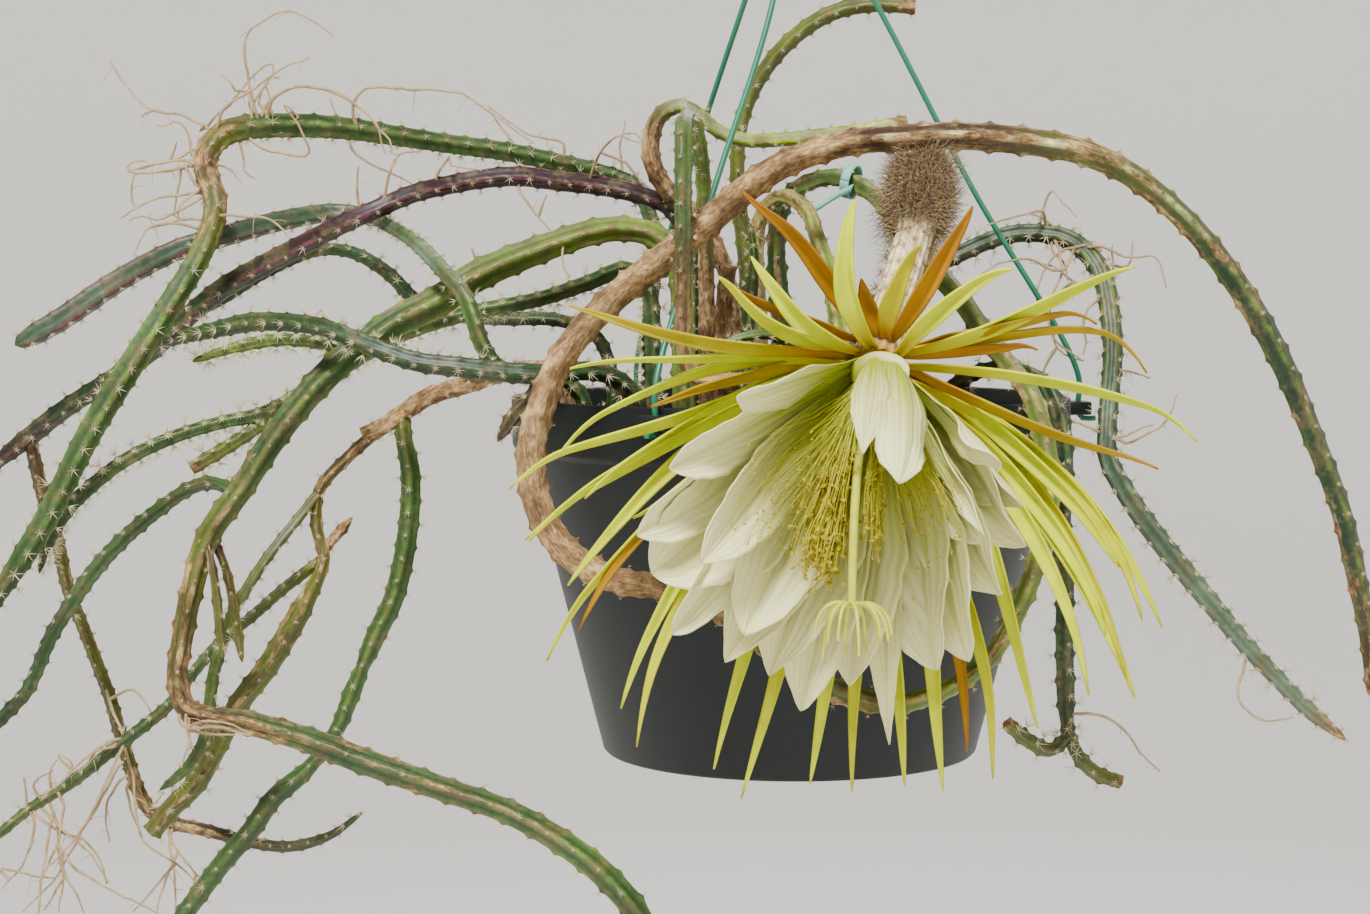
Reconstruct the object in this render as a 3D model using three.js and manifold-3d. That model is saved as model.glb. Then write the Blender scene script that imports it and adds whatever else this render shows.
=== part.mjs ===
// A queen of the night cactus in bloom, in a hanging pot: long ribbed stems that arch out over the rim and hang
// below it, tan air roots, and one open bloom that nods on the front of the plant.
// Millimetres, +Z up, +Y away from the viewer. The stems, the bloom and the pot are measured from the middle of the
// pot's rim. The group that holds them hangs from the hook, whose inner top is the part's origin.
import * as THREE from "three";
import { mergeVertices } from "three/addons/utils/BufferGeometryUtils.js";
import Module from "manifold-3d";

const wasm = await Module();
wasm.setup();

// Driving dimensions
const POT = { rimRadius: 125, rimHeight: 22, topRadius: 121, baseRadius: 84, height: 160, wall: 2.6, sides: 28 };
const DRAIN = { count: 5, radius: 6, circle: 50, sides: 8 };
const EAR = { radius: 130.5, width: 15, depth: 13, thickness: 6, top: -3, hole: 1.9, angles: [243, 123, 3] };
const GAP = 0.35;
const SOIL = { top: -16, holeDepth: 27, holeSides: 6 };
const WIRE = { radius: 1.3, twistRadius: 3, neck: 236, twistTop: 262, hookTop: 298 };
const STATION_STEP = 24; // between the rings of a stem
const STATION_TURN = 38; // most degrees a stem turns between two rings
const SPINE = { length: 3.6, radius: 0.85, sunk: 0.9, every: 8, clearance: 2.2 };
const ROOT = { radius: 0.75, tipRadius: 0.4 };
const THROAT = new THREE.Vector3(25, -192, 19);
const FACING = new THREE.Vector3(-0.12, -0.72, -0.68).normalize(); // the way the open bloom looks
const TUBE_MOUTH = 11.8;
const BLADE_THICKNESS = 1.1;

const FINISH = {
  pot: [0x1f2a24, 0.55],
  soil: [0x3a2a1e, 1],
  wire: [0x1c6b4a, 0.4],
  tie: [0x6fa08c, 0.8],
  green: [0x3f7a2e, 0.6],
  brightGreen: [0x6b9a2c, 0.55],
  darkGreen: [0x2d5a33, 0.6],
  blueGreen: [0x4f7a5c, 0.6],
  purple: [0x5a2f3a, 0.6],
  olive: [0x77803a, 0.65],
  pale: [0xc9cf9a, 0.6],
  wood: [0xa98562, 0.85],
  tube: [0xd9c3a0, 0.6],
  sepal: [0xcbd12f, 0.5],
  petal: [0xf0f1e2, 0.5],
  stamen: [0xd3bf45, 0.6],
  style: [0xc3c75a, 0.5],
};

// Stems. A route runs from the root in the soil to the tip, [right, back, up]. Girth pairs are [share of the
// length, radius over the ribs]. A branch starts inside the stem that bears it. A root is a bare line of points.
const rooted = (x, y) => [
  [x, y, SOIL.top - SOIL.holeDepth + 2],
  [x, y, SOIL.top - 10],
  [x, y, SOIL.top + 5],
];

const STEMS = [
  {
    name: "stem_arch",
    finish: "green",
    ribs: 5,
    tooth: 0.9,
    girth: [[0, 3.8], [0.25, 3.9], [0.45, 5.2], [0.55, 5.6], [0.93, 5.4], [1, 2.4]],
    route: [
      ...rooted(-64, 38), [-64, 41, 30], [-62, 44, 72], [-70, 45, 94], [-87, 43, 101], [-105, 38, 105],
      [-130, 32, 110], [-154, 24, 113], [-176, 16, 116], [-198, 8, 119], [-219, 0, 120], [-240, -8, 119],
      [-252, -13, 115], [-258, -18, 106], [-257, -22, 97], [-253, -26, 86], [-254, -29, 75], [-260, -33, 60],
      [-271, -38, 41], [-287, -44, 15], [-304, -50, -14], [-320, -56, -47], [-332, -60, -68],
      [-343, -62, -85], [-351, -64, -100],
    ],
    roots: [
      [[-236, -8, 118], [-239, -14, 137], [-240, -18, 158], [-233, -20, 164], [-218, -22, 168], [-200, -24, 157]],
      [[-255, -14, 114], [-250, -20, 126], [-237, -26, 134], [-222, -30, 143], [-209, -34, 148]],
      [[-252, -13, 115], [-270, -8, 125], [-283, -4, 127], [-292, 0, 134], [-298, 2, 141], [-304, 4, 149]],
      [[-258, -22, 100], [-267, -26, 104], [-277, -30, 102], [-289, -36, 98]],
      [[-254, -25, 90], [-270, -26, 89], [-279, -28, 87], [-293, -30, 78]],
      [[-255, -30, 73], [-268, -34, 76], [-278, -38, 75], [-282, -42, 68], [-285, -44, 62]],
      [[-234, -6, 119], [-229, -14, 131], [-219, -20, 136], [-204, -26, 135], [-192, -28, 129], [-182, -28, 119],
        [-178, -28, 106]],
      [[-194, 7, 118], [-196, 2, 129], [-188, 0, 137], [-170, -2, 136], [-148, -4, 135], [-129, -4, 122],
        [-114, -4, 112]],
      [[-244, -8, 118], [-234, -14, 110], [-220, -18, 107], [-213, -22, 107], [-215, -28, 118], [-221, -32, 127]],
      [[-254, -28, 80], [-239, -38, 79], [-227, -44, 78], [-219, -48, 71]],
    ],
  },
  {
    name: "stem_purple",
    finish: "purple",
    ribs: 4,
    tooth: 0.6,
    girth: [[0, 3.8], [0.15, 4.2], [0.7, 4.6], [0.94, 4.3], [1, 1.6]],
    route: [
      ...rooted(-44, 20), [-44, 20, 35], [-45, 17, 66], [-54, 13, 84], [-68, 12, 90], [-86, 12, 94],
      [-104, 10, 96], [-121, 8, 98], [-137, 6, 97], [-153, 2, 94], [-168, -5, 90], [-184, -10, 83], [-202, -9, 75],
      [-220, -5, 66], [-238, -1, 57], [-256, 2, 47], [-272, 4, 34], [-288, 4, 19], [-309, 4, 5], [-329, 4, -8],
      [-343, 4, -19], [-357, 4, -30], [-368, 4, -40],
    ],
    branches: [
      {
        ribs: 3,
        tooth: 0.4,
        girth: [[0, 3], [0.6, 3.1], [0.9, 2.6], [1, 1]],
        route: [
          [-343, 4, -19], [-340, 4, -34], [-337, 5, -48], [-332, 6, -65], [-327, 6, -89], [-321, 6, -105],
          [-314, 6, -124], [-309, 6, -138], [-305, 6, -153], [-301, 6, -167], [-296, 4, -181], [-289, 2, -191],
          [-279, 0, -195], [-269, -4, -196], [-257, -8, -198], [-242, -12, -201], [-227, -16, -202],
          [-216, -18, -200], [-204, -20, -195], [-191, -22, -185],
        ],
      },
    ],
    roots: [
      [[-91, 12, 94], [-86, 2, 107], [-77, -6, 115], [-67, -10, 112]],
      [[-312, 6, -130], [-303, -4, -150], [-297, -8, -170], [-290, -14, -200], [-270, -20, -212], [-263, -25, -220]],
    ],
  },
  {
    name: "stem_blue",
    finish: "blueGreen",
    ribs: 4,
    tooth: 0.9,
    girth: [[0, 3.4], [0.3, 3.5], [0.5, 3.8], [0.7, 4.6], [0.95, 5.2], [1, 3]],
    route: [
      ...rooted(-90, -34), [-93, -35, 2], [-104, -39, 11], [-116, -48, 12], [-127, -60, 15], [-133, -67, 24],
      [-137, -66, 36], [-141, -62, 45], [-148, -56, 53], [-163, -36, 67], [-178, -4, 75], [-190, 16, 80],
      [-207, 20, 82], [-230, 9, 78], [-256, -7, 70], [-272, -12, 65], [-297, -14, 52], [-323, -20, 34], [-342, -24, 23],
    ],
  },
  {
    name: "stem_main",
    finish: "brightGreen",
    ribs: 4,
    tooth: 1.1,
    girth: [[0, 4.6], [0.12, 5.2], [0.3, 6.6], [0.42, 6.4], [0.5, 5], [0.62, 4.6], [0.8, 5.4], [0.97, 5], [1, 2]],
    route: [
      ...rooted(-48, -22), [-48, -22, 30], [-50, -20, 57], [-59, -18, 70], [-72, -18, 74], [-86, -20, 73],
      [-111, -24, 65], [-137, -30, 54], [-154, -36, 43], [-175, -43, 32], [-199, -54, 13], [-220, -62, -12],
      [-236, -68, -37], [-249, -72, -56], [-256, -75, -79], [-260, -77, -100], [-262, -78, -116],
      [-258, -79, -129], [-247, -80, -133], [-235, -82, -134], [-209, -87, -140], [-179, -93, -150],
      [-149, -100, -159], [-120, -106, -168], [-99, -110, -179], [-82, -114, -191], [-66, -118, -208],
      [-57, -120, -222],
    ],
    branches: [
      {
        ribs: 3,
        tooth: 0.6,
        girth: [[0, 3], [0.5, 3.6], [0.93, 3.2], [1, 1.2]],
        route: [
          [-238, -68, -38], [-250, -58, -35], [-261, -50, -38], [-276, -46, -48], [-293, -42, -62],
          [-307, -38, -77], [-317, -36, -91], [-326, -34, -105], [-332, -34, -119], [-337, -34, -129],
          [-348, -36, -141], [-356, -36, -151],
        ],
      },
      {
        ribs: 3,
        tooth: 0,
        girth: [[0, 1.8], [0.8, 2.2], [1, 1]],
        route: [[-250, -74, -58], [-246, -79, -72], [-244, -81, -87], [-242, -83, -107]],
      },
      {
        ribs: 3,
        tooth: 0,
        girth: [[0, 1.8], [0.8, 2.2], [1, 1]],
        route: [[-248, -70, -56], [-242, -69, -73], [-239, -69, -90], [-236, -69, -111]],
      },
    ],
    roots: [
      [[-258, -79, -129], [-256, -88, -136], [-243, -94, -134], [-228, -98, -137]],
      [[-257, -80, -131], [-256, -88, -142], [-259, -90, -152]],
    ],
  },
  {
    name: "stem_dark",
    finish: "darkGreen",
    ribs: 5,
    tooth: 0.8,
    girth: [[0, 3.8], [0.3, 4.4], [0.8, 4.2], [1, 2]],
    route: [
      ...rooted(-66, -62), [-69, -64, 3], [-80, -70, 12], [-93, -78, 14], [-108, -85, 13], [-124, -87, 14],
      [-141, -88, 16], [-158, -87, 18], [-174, -85, 23], [-187, -80, 28], [-199, -74, 32], [-215, -66, 34],
      [-231, -58, 34], [-247, -48, 31], [-265, -36, 27], [-279, -22, 23],
    ],
    branches: [
      {
        ribs: 3,
        tooth: 0.5,
        girth: [[0, 2.6], [0.7, 3.2], [1, 1.6]],
        route: [[-104, -84, 13], [-111, -85, 4], [-119, -83, -5], [-126, -80, -16]],
      },
    ],
  },
  {
    name: "stem_lower",
    finish: "darkGreen",
    ribs: 4,
    tooth: 0.7,
    girth: [[0, 3], [0.5, 3.2], [0.95, 3], [1, 1.2]],
    route: [
      ...rooted(-80, 22), [-81, 22, 10], [-88, 22, 26], [-104, 22, 33], [-132, 22, 34], [-154, 20, 36],
      [-170, 14, 43], [-181, 14, 54], [-199, 22, 64], [-215, 26, 65], [-239, 24, 55], [-259, 24, 43],
      [-277, 25, 34], [-288, 27, 26],
    ],
  },
  {
    name: "stem_hairy",
    finish: "green",
    ribs: 5,
    tooth: 0.6,
    girth: [[0, 3.6], [0.4, 3.8], [0.7, 3.3], [0.95, 3.2], [1, 1.2]],
    route: [
      ...rooted(-62, 2), [-62, 3, 22], [-64, 4, 46], [-73, 5, 56], [-91, 4, 50], [-112, 0, 43], [-142, -2, 37],
      [-174, -8, 27], [-205, -14, 9], [-233, -22, -7], [-251, -24, -11], [-271, -28, -17], [-292, -32, -27],
      [-305, -36, -37], [-317, -38, -49], [-326, -38, -64], [-329, -40, -76],
    ],
    branches: [
      {
        ribs: 3,
        tooth: 0.5,
        girth: [[0, 2.8], [0.7, 3.1], [1, 1.4]],
        route: [[-187, -8, 20], [-201, -6, 21], [-213, -12, 24], [-228, -18, 25], [-245, -24, 22], [-263, -30, 16]],
      },
      {
        ribs: 3,
        tooth: 0.6,
        cut: true,
        girth: [[0, 2.8], [0.6, 3.3], [1, 3.2]],
        route: [[-214, -16, 5], [-234, -22, -12], [-249, -26, -22], [-264, -30, -31]],
      },
    ],
  },
  {
    name: "stem_woody",
    finish: "olive",
    ribs: 4,
    tooth: 0.5,
    cut: true,
    girth: [[0, 3.8], [0.5, 4.2], [0.8, 4.8], [1, 4]],
    route: [
      ...rooted(-98, -8), [-100, -10, 3], [-111, -15, 12], [-125, -20, 11], [-142, -26, 6], [-159, -30, 1],
      [-170, -34, -6], [-179, -34, -12], [-188, -34, -16],
    ],
    branches: [
      {
        ribs: 4,
        tooth: 0.8,
        girth: [[0, 3.4], [0.1, 4.4], [0.4, 4.2], [0.44, 3], [0.48, 4.1], [0.6, 3], [0.66, 4.2], [0.95, 4], [1, 1.6]],
        route: [
          [-170, -34, -5], [-170, -36, -16], [-167, -38, -32], [-168, -40, -57], [-174, -42, -86],
          [-182, -44, -103], [-192, -46, -127], [-199, -48, -144], [-211, -50, -160], [-226, -52, -173],
          [-236, -52, -187], [-249, -52, -202], [-264, -52, -222], [-274, -52, -235],
        ],
      },
      {
        ribs: 4,
        tooth: 0.9,
        cut: true,
        girth: [[0, 2.8], [0.35, 2.6], [0.45, 4.6], [0.85, 5], [1, 4.2]],
        route: [
          [-179, -34, -12], [-194, -34, -25], [-207, -36, -40], [-208, -38, -56], [-205, -38, -70],
          [-213, -38, -88], [-230, -38, -117], [-243, -38, -134], [-253, -38, -153], [-263, -38, -170],
          [-273, -38, -180], [-282, -38, -191],
        ],
      },
      {
        ribs: 3,
        tooth: 0.5,
        girth: [[0, 2.4], [0.5, 2.9], [0.94, 2.6], [1, 1]],
        route: [
          [-208, -37, -42], [-217, -46, -54], [-227, -52, -67], [-236, -56, -81], [-242, -58, -92],
          [-246, -60, -104], [-250, -60, -118], [-252, -60, -132], [-255, -60, -147], [-263, -60, -159],
          [-274, -60, -168],
        ],
      },
      {
        ribs: 3,
        tooth: 0.4,
        girth: [[0, 2.4], [0.5, 2.8], [0.95, 2.4], [1, 1]],
        route: [
          [-207, -37, -71], [-224, -28, -84], [-239, -22, -97], [-256, -18, -111], [-268, -17, -125],
          [-277, -17, -137], [-290, -16, -148], [-302, -15, -157], [-322, -14, -173], [-341, -12, -185],
          [-356, -10, -197], [-365, -10, -203],
        ],
      },
      {
        ribs: 3,
        tooth: 0,
        girth: [[0, 2.2], [0.7, 2.4], [1, 1]],
        route: [[-207, -37, -68], [-200, -34, -60], [-193, -32, -52]],
      },
    ],
    roots: [
      [[-300, -16, -156], [-310, -22, -158], [-318, -26, -165], [-332, -30, -177]],
      [[-333, -13, -180], [-329, -14, -199], [-336, -16, -216], [-337, -18, -232]],
      [[-298, -16, -155], [-307, -24, -176], [-316, -30, -193], [-329, -34, -207]],
      [[-338, -12, -184], [-323, -20, -196], [-313, -24, -203], [-304, -28, -216]],
    ],
  },
  {
    name: "stem_ring",
    finish: "wood",
    ribs: 4,
    tooth: 0.9,
    girth: [[0, 3.8], [0.1, 4.2], [0.2, 4.8], [0.36, 3.6], [0.45, 5.2], [0.56, 5.8], [0.7, 5.6], [0.95, 4.8], [1, 3]],
    route: [
      ...rooted(-4, 18), [-4, 17, 40], [-6, 12, 66], [-4, 4, 84], [4, -5, 93], [19, -12, 97], [35, -20, 90],
      [49, -30, 73], [61, -40, 56], [73, -50, 41], [82, -60, 26], [90, -75, 15], [96, -90, 5], [100, -104, -12],
      [101, -114, -32], [99, -120, -50], [92, -126, -70], [84, -129, -87], [76, -131, -99], [65, -134, -108],
      [52, -137, -114], [37, -140, -117], [20, -143, -114], [-2, -147, -103], [-25, -149, -84],
      [-49, -149, -70], [-73, -146, -67], [-93, -141, -57], [-105, -136, -40], [-109, -131, -17],
      [-104, -127, 4], [-96, -122, 22], [-82, -116, 39], [-66, -108, 53], [-47, -100, 68], [-33, -98, 80],
      [-17, -98, 93], [-3, -98, 101], [20, -98, 108], [41, -98, 110], [62, -96, 111], [83, -92, 110],
      [102, -88, 108], [117, -85, 105], [138, -80, 96], [165, -72, 75], [188, -65, 48], [207, -58, 18],
      [222, -52, -13], [237, -46, -48], [247, -40, -83], [252, -38, -106], [255, -36, -132],
    ],
  },
  {
    name: "stem_right",
    finish: "blueGreen",
    ribs: 5,
    tooth: 0.7,
    girth: [[0, 3.8], [0.2, 4.2], [0.5, 4.8], [0.8, 4.6], [0.96, 3.8], [1, 1.2]],
    route: [
      ...rooted(30, 26), [31, 26, 20], [40, 27, 40], [55, 28, 52], [75, 28, 62], [99, 26, 72], [116, 24, 73],
      [128, 20, 70], [137, 16, 62], [142, 10, 51], [144, 4, 36], [144, -4, 18], [142, -10, 2], [140, -16, -13],
      [140, -20, -27], [148, -24, -43], [159, -26, -59], [170, -28, -73], [184, -30, -90], [199, -32, -108],
      [213, -34, -123], [227, -36, -137], [243, -38, -150],
    ],
    roots: [
      [[118, 24, 73], [115, 16, 82], [102, 6, 80], [87, -2, 76]],
      [[114, 24, 74], [119, 20, 92], [124, 12, 86], [129, 6, 80]],
      [[120, 23, 72], [122, 12, 64], [122, 4, 54], [115, -4, 38], [117, -8, 26], [129, -14, 16]],
      [[130, 18, 68], [122, 2, 56], [107, -8, 60], [92, -14, 59], [80, -22, 51]],
      [[134, 17, 66], [140, 8, 66], [152, 0, 62], [164, -4, 61], [167, -8, 48]],
      [[201, -32, -110], [195, -40, -130], [204, -44, -140], [218, -46, -138]],
    ],
  },
  {
    name: "stem_pale",
    finish: "pale",
    ribs: 4,
    tooth: 0.5,
    girth: [[0, 3], [0.4, 3.4], [0.9, 3.4], [1, 1.2]],
    route: [
      ...rooted(-14, -22), [-14, -22, 30], [-16, -28, 62], [-14, -37, 80], [-6, -48, 88], [4, -58, 82],
      [9, -69, 68], [13, -80, 54], [15, -92, 39], [17, -106, 25], [18, -121, 16], [19, -134, 4], [20, -142, -18],
      [22, -144, -51],
    ],
  },
  {
    name: "stem_tail",
    finish: "darkGreen",
    ribs: 4,
    tooth: 1.1,
    girth: [[0, 3.4], [0.35, 3.8], [0.9, 4.2], [1, 2]],
    route: [
      ...rooted(62, -38), [66, -41, 2], [78, -50, 12], [92, -59, 14], [104, -68, 9], [111, -76, -7],
      [112, -80, -32], [111, -81, -54], [113, -80, -76], [113, -78, -95], [114, -76, -117], [115, -74, -133],
      [117, -72, -148],
    ],
    branches: [
      {
        ribs: 3,
        tooth: 0.5,
        cut: true,
        girth: [[0, 2.8], [0.6, 3.2], [1, 3]],
        route: [[116, -73, -142], [108, -77, -147], [99, -82, -143], [88, -86, -134]],
      },
      {
        ribs: 3,
        tooth: 0.5,
        cut: true,
        girth: [[0, 2.6], [0.6, 3.2], [1, 3]],
        route: [[115, -73, -138], [120, -73, -150], [128, -72, -158], [139, -72, -162]],
      },
    ],
    roots: [[[115, -74, -132], [129, -78, -132], [138, -80, -138], [146, -82, -148], [153, -84, -156]]],
  },
  {
    name: "stem_cut",
    finish: "olive",
    ribs: 4,
    tooth: 0.7,
    cut: true,
    girth: [[0, 3.2], [0.5, 3.6], [1, 3.4]],
    route: [
      ...rooted(-18, 54), [-18, 54, 48], [-22, 50, 88], [-23, 46, 106], [-21, 43, 125], [-13, 40, 144],
      [1, 38, 161], [19, 36, 173], [37, 34, 177], [58, 32, 176],
    ],
  },
  {
    name: "stem_loop",
    finish: "olive",
    ribs: 4,
    tooth: 0.3,
    cut: true,
    girth: [[0, 3.4], [0.4, 3.6], [0.55, 4], [0.7, 3.4], [1, 3]],
    route: [
      ...rooted(-26, 2), [-26, 2, 38], [-33, 1, 66], [-47, -3, 84], [-57, -7, 94], [-62, -11, 105],
      [-62, -13, 115], [-58, -15, 124], [-50, -16, 128], [-41, -18, 124], [-33, -20, 117], [-22, -22, 113],
      [-5, -22, 113], [14, -22, 115], [31, -22, 117], [50, -22, 121],
    ],
  },
  {
    name: "stem_hairpin",
    finish: "green",
    ribs: 4,
    tooth: 0.3,
    cut: true,
    girth: [[0, 3.3], [0.5, 3.4], [0.9, 3.6], [1, 3.4]],
    route: [
      ...rooted(-38, -48), [-38, -48, 45], [-39, -48, 84], [-40, -52, 101], [-42, -61, 113], [-45, -74, 119],
      [-47, -90, 119], [-48, -104, 114], [-48, -112, 103], [-48, -114, 84], [-48, -114, 60], [-48, -114, 34],
      [-47, -113, 20], [-43, -113, 13], [-33, -112, 11], [-20, -111, 11], [-7, -109, 10],
    ],
  },
  {
    name: "shoot_upright",
    finish: "green",
    ribs: 4,
    tooth: 0.4,
    girth: [[0, 2.6], [0.7, 2.8], [1, 1.2]],
    route: [...rooted(-22, -66), [-21, -65, 22], [-19, -64, 46], [-18, -66, 62], [-20, -70, 76]],
  },
  {
    name: "shoot_low",
    finish: "green",
    ribs: 4,
    tooth: 0.4,
    girth: [[0, 2.6], [0.7, 2.9], [1, 1.2]],
    route: [...rooted(8, -74), [7, -75, 8], [1, -78, 22], [-10, -82, 29], [-24, -85, 28], [-38, -86, 22]],
  },
  {
    name: "stub_dead",
    finish: "wood",
    ribs: 4,
    tooth: 0.5,
    cut: true,
    girth: [[0, 3.6], [0.6, 4.2], [1, 3.4]],
    route: [...rooted(-31, -20), [-31, -21, 16], [-30, -24, 42], [-28, -28, 58]],
  },
];

// Bloom. Tips are measured from the throat, [right, up] as they look from the front for the narrow outer tepals,
// which lean forward at the top of the bloom and back at its foot, and [right, back, up] for the white petals.
const TUBE_ROUTE = [
  [49, -97, 104.3], [50, -98, 97], [49, -102, 86], [46, -111, 71], [39, -130, 52], [31, -155, 35], [27, -176, 26],
];
const TUBE_GIRTH = [[0, 6], [0.06, 10], [0.16, 11], [0.28, 7.5], [0.5, 8], [0.75, 8.6], [1, TUBE_MOUTH]];
const BRISTLES = { onBall: 36, onTube: 10, length: 7.5, radius: 0.75 };
const SEPAL_LEAN = { middle: 0.12, up: 0.3 };
const SEPAL_TIPS = [
  [-10, 62], [-55, 40], [15, 47], [49, 38], [93, 40], [-115, 2], [-120, -27], [-138, -38],
  [-133, -64], [-117, -83], [-125, -103], [-97, -128], [119, -21], [94, -78], [105, -100],
  [84, -121], [102, -127], [-91, -140], [-61, -152], [-50, -166], [-23, -165], [-7, -158],
  [14, -168], [29, -165], [48, -157], [65, -142],
];
const OUTER_TIPS = [
  [-52, 62], [-55, 30], [33, 59], [-115, 25], [-85, -15], [-113, -98], [99, 7], [59, 11], [106, -35], [38, -149],
];
const SEPAL = { width: 6.4, outerWidth: 5.4, ring: 13.4, set: -1.9, tier: 1.7, tiers: 3 };
const PETAL_TIPS = [
  [-77, -10, -99], [-57, 2, -112], [-40, 6, -117], [-28, 12, -134], [-9, 14, -124], [7, 20, -148],
  [24, 10, -118], [36, 4, -116], [47, -8, -87], [54, -22, -65], [-90, -24, -61], [-85, -16, -80],
  [-78, -40, -35], [-54, -54, -10], [5, -70, -33], [37, -36, -58], [41, -52, -34], [6, -30, -1],
];
const PETAL_WIDTHS = [27, 31, 33, 34, 35, 19, 33, 31, 33, 30, 29, 31, 27, 24, 21, 17, 20, 10];
const PETAL = { ring: 10.2, set: 0.5, tier: 1.6, tiers: 2, turn: 0.3 };
const STAMENS = { count: 26, ring: 6.2, shortest: 46, longest: 78, radius: 0.55, anther: 1.25, spread: 0.5, apart: 3.4 };
const STYLE_ROUTE = [[0, 0, 0], [-4, -11, -13], [-8, -22, -31], [-10, -28, -54], [-11, -31, -86]];
const STIGMA = { lobes: 10, length: 14, radius: 0.9 };

const GOLDEN_ANGLE = Math.PI * (3 - Math.sqrt(5));

// Evenly spread numbers from 0 to 1 that are the same on every run.
function seeded(seed) {
  let state = seed;
  return () => {
    state = (state * 1664525 + 1013904223) % 4294967296;
    return state / 4294967296;
  };
}

const vector = ([x, y, z]) => new THREE.Vector3(x, y, z);

// A three.js geometry as a solid, and a solid as a geometry.
function solidOf(geometry) {
  const bare = geometry.clone();
  bare.deleteAttribute("normal");
  bare.deleteAttribute("uv");
  const merged = mergeVertices(bare, 1e-4);
  return new wasm.Manifold(
    new wasm.Mesh({
      numProp: 3,
      vertProperties: new Float32Array(merged.attributes.position.array),
      triVerts: new Uint32Array(merged.index.array),
    }),
  );
}

function geometryOf(solid) {
  const { vertProperties, triVerts } = solid.getMesh();
  const geometry = new THREE.BufferGeometry();
  geometry.setAttribute("position", new THREE.BufferAttribute(vertProperties, 3));
  geometry.setIndex(new THREE.BufferAttribute(triVerts, 1));
  return geometry;
}

// One solid from solids that meet. The small hollows that crossing blades shut in between them are filled.
function fused(solids) {
  const bodies = wasm.Manifold.union(solids).simplify(0.06).decompose();
  return bodies.reduce((largest, body) => (body.volume() > largest.volume() ? body : largest));
}

// Value at a share of the length, from [share, value] pairs.
function along(pairs, share) {
  const after = pairs.findIndex(([at]) => at >= share);
  if (after <= 0) return pairs[0][1];
  const [[from, low], [to, high]] = [pairs[after - 1], pairs[after]];
  return THREE.MathUtils.lerp(low, high, (share - from) / (to - from));
}

// Stations through the points, each with its tangent and a normal that is carried along without twist.
function stationsThrough(points) {
  const last = points.length - 1;
  const lengths = [0];
  for (let i = 1; i <= last; i++) lengths.push(lengths[i - 1] + points[i].distanceTo(points[i - 1]));
  let normal = new THREE.Vector3(0, -1, 0);
  return points.map((point, i) => {
    const tangent = points[Math.min(i + 1, last)].clone().sub(points[Math.max(i - 1, 0)]).normalize();
    if (Math.abs(tangent.dot(normal)) > 0.95) normal = new THREE.Vector3(1, 0, 0.2);
    normal = normal.clone().addScaledVector(tangent, -normal.dot(tangent)).normalize();
    const side = new THREE.Vector3().crossVectors(tangent, normal);
    return { point, tangent, normal, side, share: lengths[i] / lengths[last] };
  });
}

// Stations along a smooth curve through the route: further apart where it runs straight.
function stationsAlong(route, step = STATION_STEP, turn = STATION_TURN) {
  const curve = new THREE.CatmullRomCurve3(route.map(vector), false, "centripetal");
  const fine = curve.getSpacedPoints(Math.ceil(curve.getLength()));
  const picked = [fine[0]];
  let run = 0;
  let turned = 0;
  for (let i = 1; i < fine.length - 1; i++) {
    const before = fine[i].clone().sub(fine[i - 1]);
    run += before.length();
    turned += THREE.MathUtils.radToDeg(before.angleTo(fine[i + 1].clone().sub(fine[i])));
    if (run >= step || (turned >= turn && run > step / 4)) {
      picked.push(fine[i]);
      run = 0;
      turned = 0;
    }
  }
  if (run < step / 3 && picked.length > 2) picked.pop();
  picked.push(fine[fine.length - 1]);
  return stationsThrough(picked);
}

// A closed solid swept through stations. section(station, index) gives the outline there as [normal, side] pairs,
// all of one length. Neighbouring faces share the way they are split, so that thin blades stay clear of themselves.
function sweep(stations, section, tip = 0) {
  const positions = [];
  const faces = [];
  const outlines = stations.map(section);
  const sides = outlines[0].length;
  stations.forEach(({ point, normal, side }, i) => {
    for (const [a, b] of outlines[i]) {
      positions.push(point.clone().addScaledVector(normal, a).addScaledVector(side, b));
    }
  });
  const last = stations.length - 1;
  for (let i = 0; i < last; i++) {
    for (let k = 0; k < sides; k++) {
      const next = (k + 1) % sides;
      const [a, b, c, d] = [i * sides + k, i * sides + next, (i + 1) * sides + next, (i + 1) * sides + k];
      if (k % 2) faces.push(a, b, d, b, c, d);
      else faces.push(a, b, c, a, c, d);
    }
  }
  const foot = positions.push(stations[0].point.clone()) - 1;
  const head = positions.push(stations[last].point.clone().addScaledVector(stations[last].tangent, tip)) - 1;
  for (let k = 0; k < sides; k++) {
    const next = (k + 1) % sides;
    faces.push(foot, next, k, last * sides + k, last * sides + next, head);
  }
  const geometry = new THREE.BufferGeometry().setFromPoints(positions);
  geometry.setIndex(faces);
  return geometry;
}

function roundSection(radius, sides) {
  return Array.from({ length: sides }, (_, k) => {
    const angle = (k / sides) * 2 * Math.PI;
    return [radius * Math.cos(angle), radius * Math.sin(angle)];
  });
}

// Ribs stand out between shallow furrows, and the areoles lift each rib in turn.
function ribbedSection({ girth, ribs, tooth }, station, index) {
  const radius = along(girth, station.share);
  return Array.from({ length: 2 * ribs }, (_, k) => {
    const rib = k / 2;
    const lifted = index > 2 && (index + rib) % 2 === 0;
    const reach = k % 2 ? radius * 0.76 : radius + (lifted ? tooth : -tooth / 2);
    const angle = (k / (2 * ribs)) * 2 * Math.PI;
    return [reach * Math.cos(angle), reach * Math.sin(angle)];
  });
}

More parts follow.
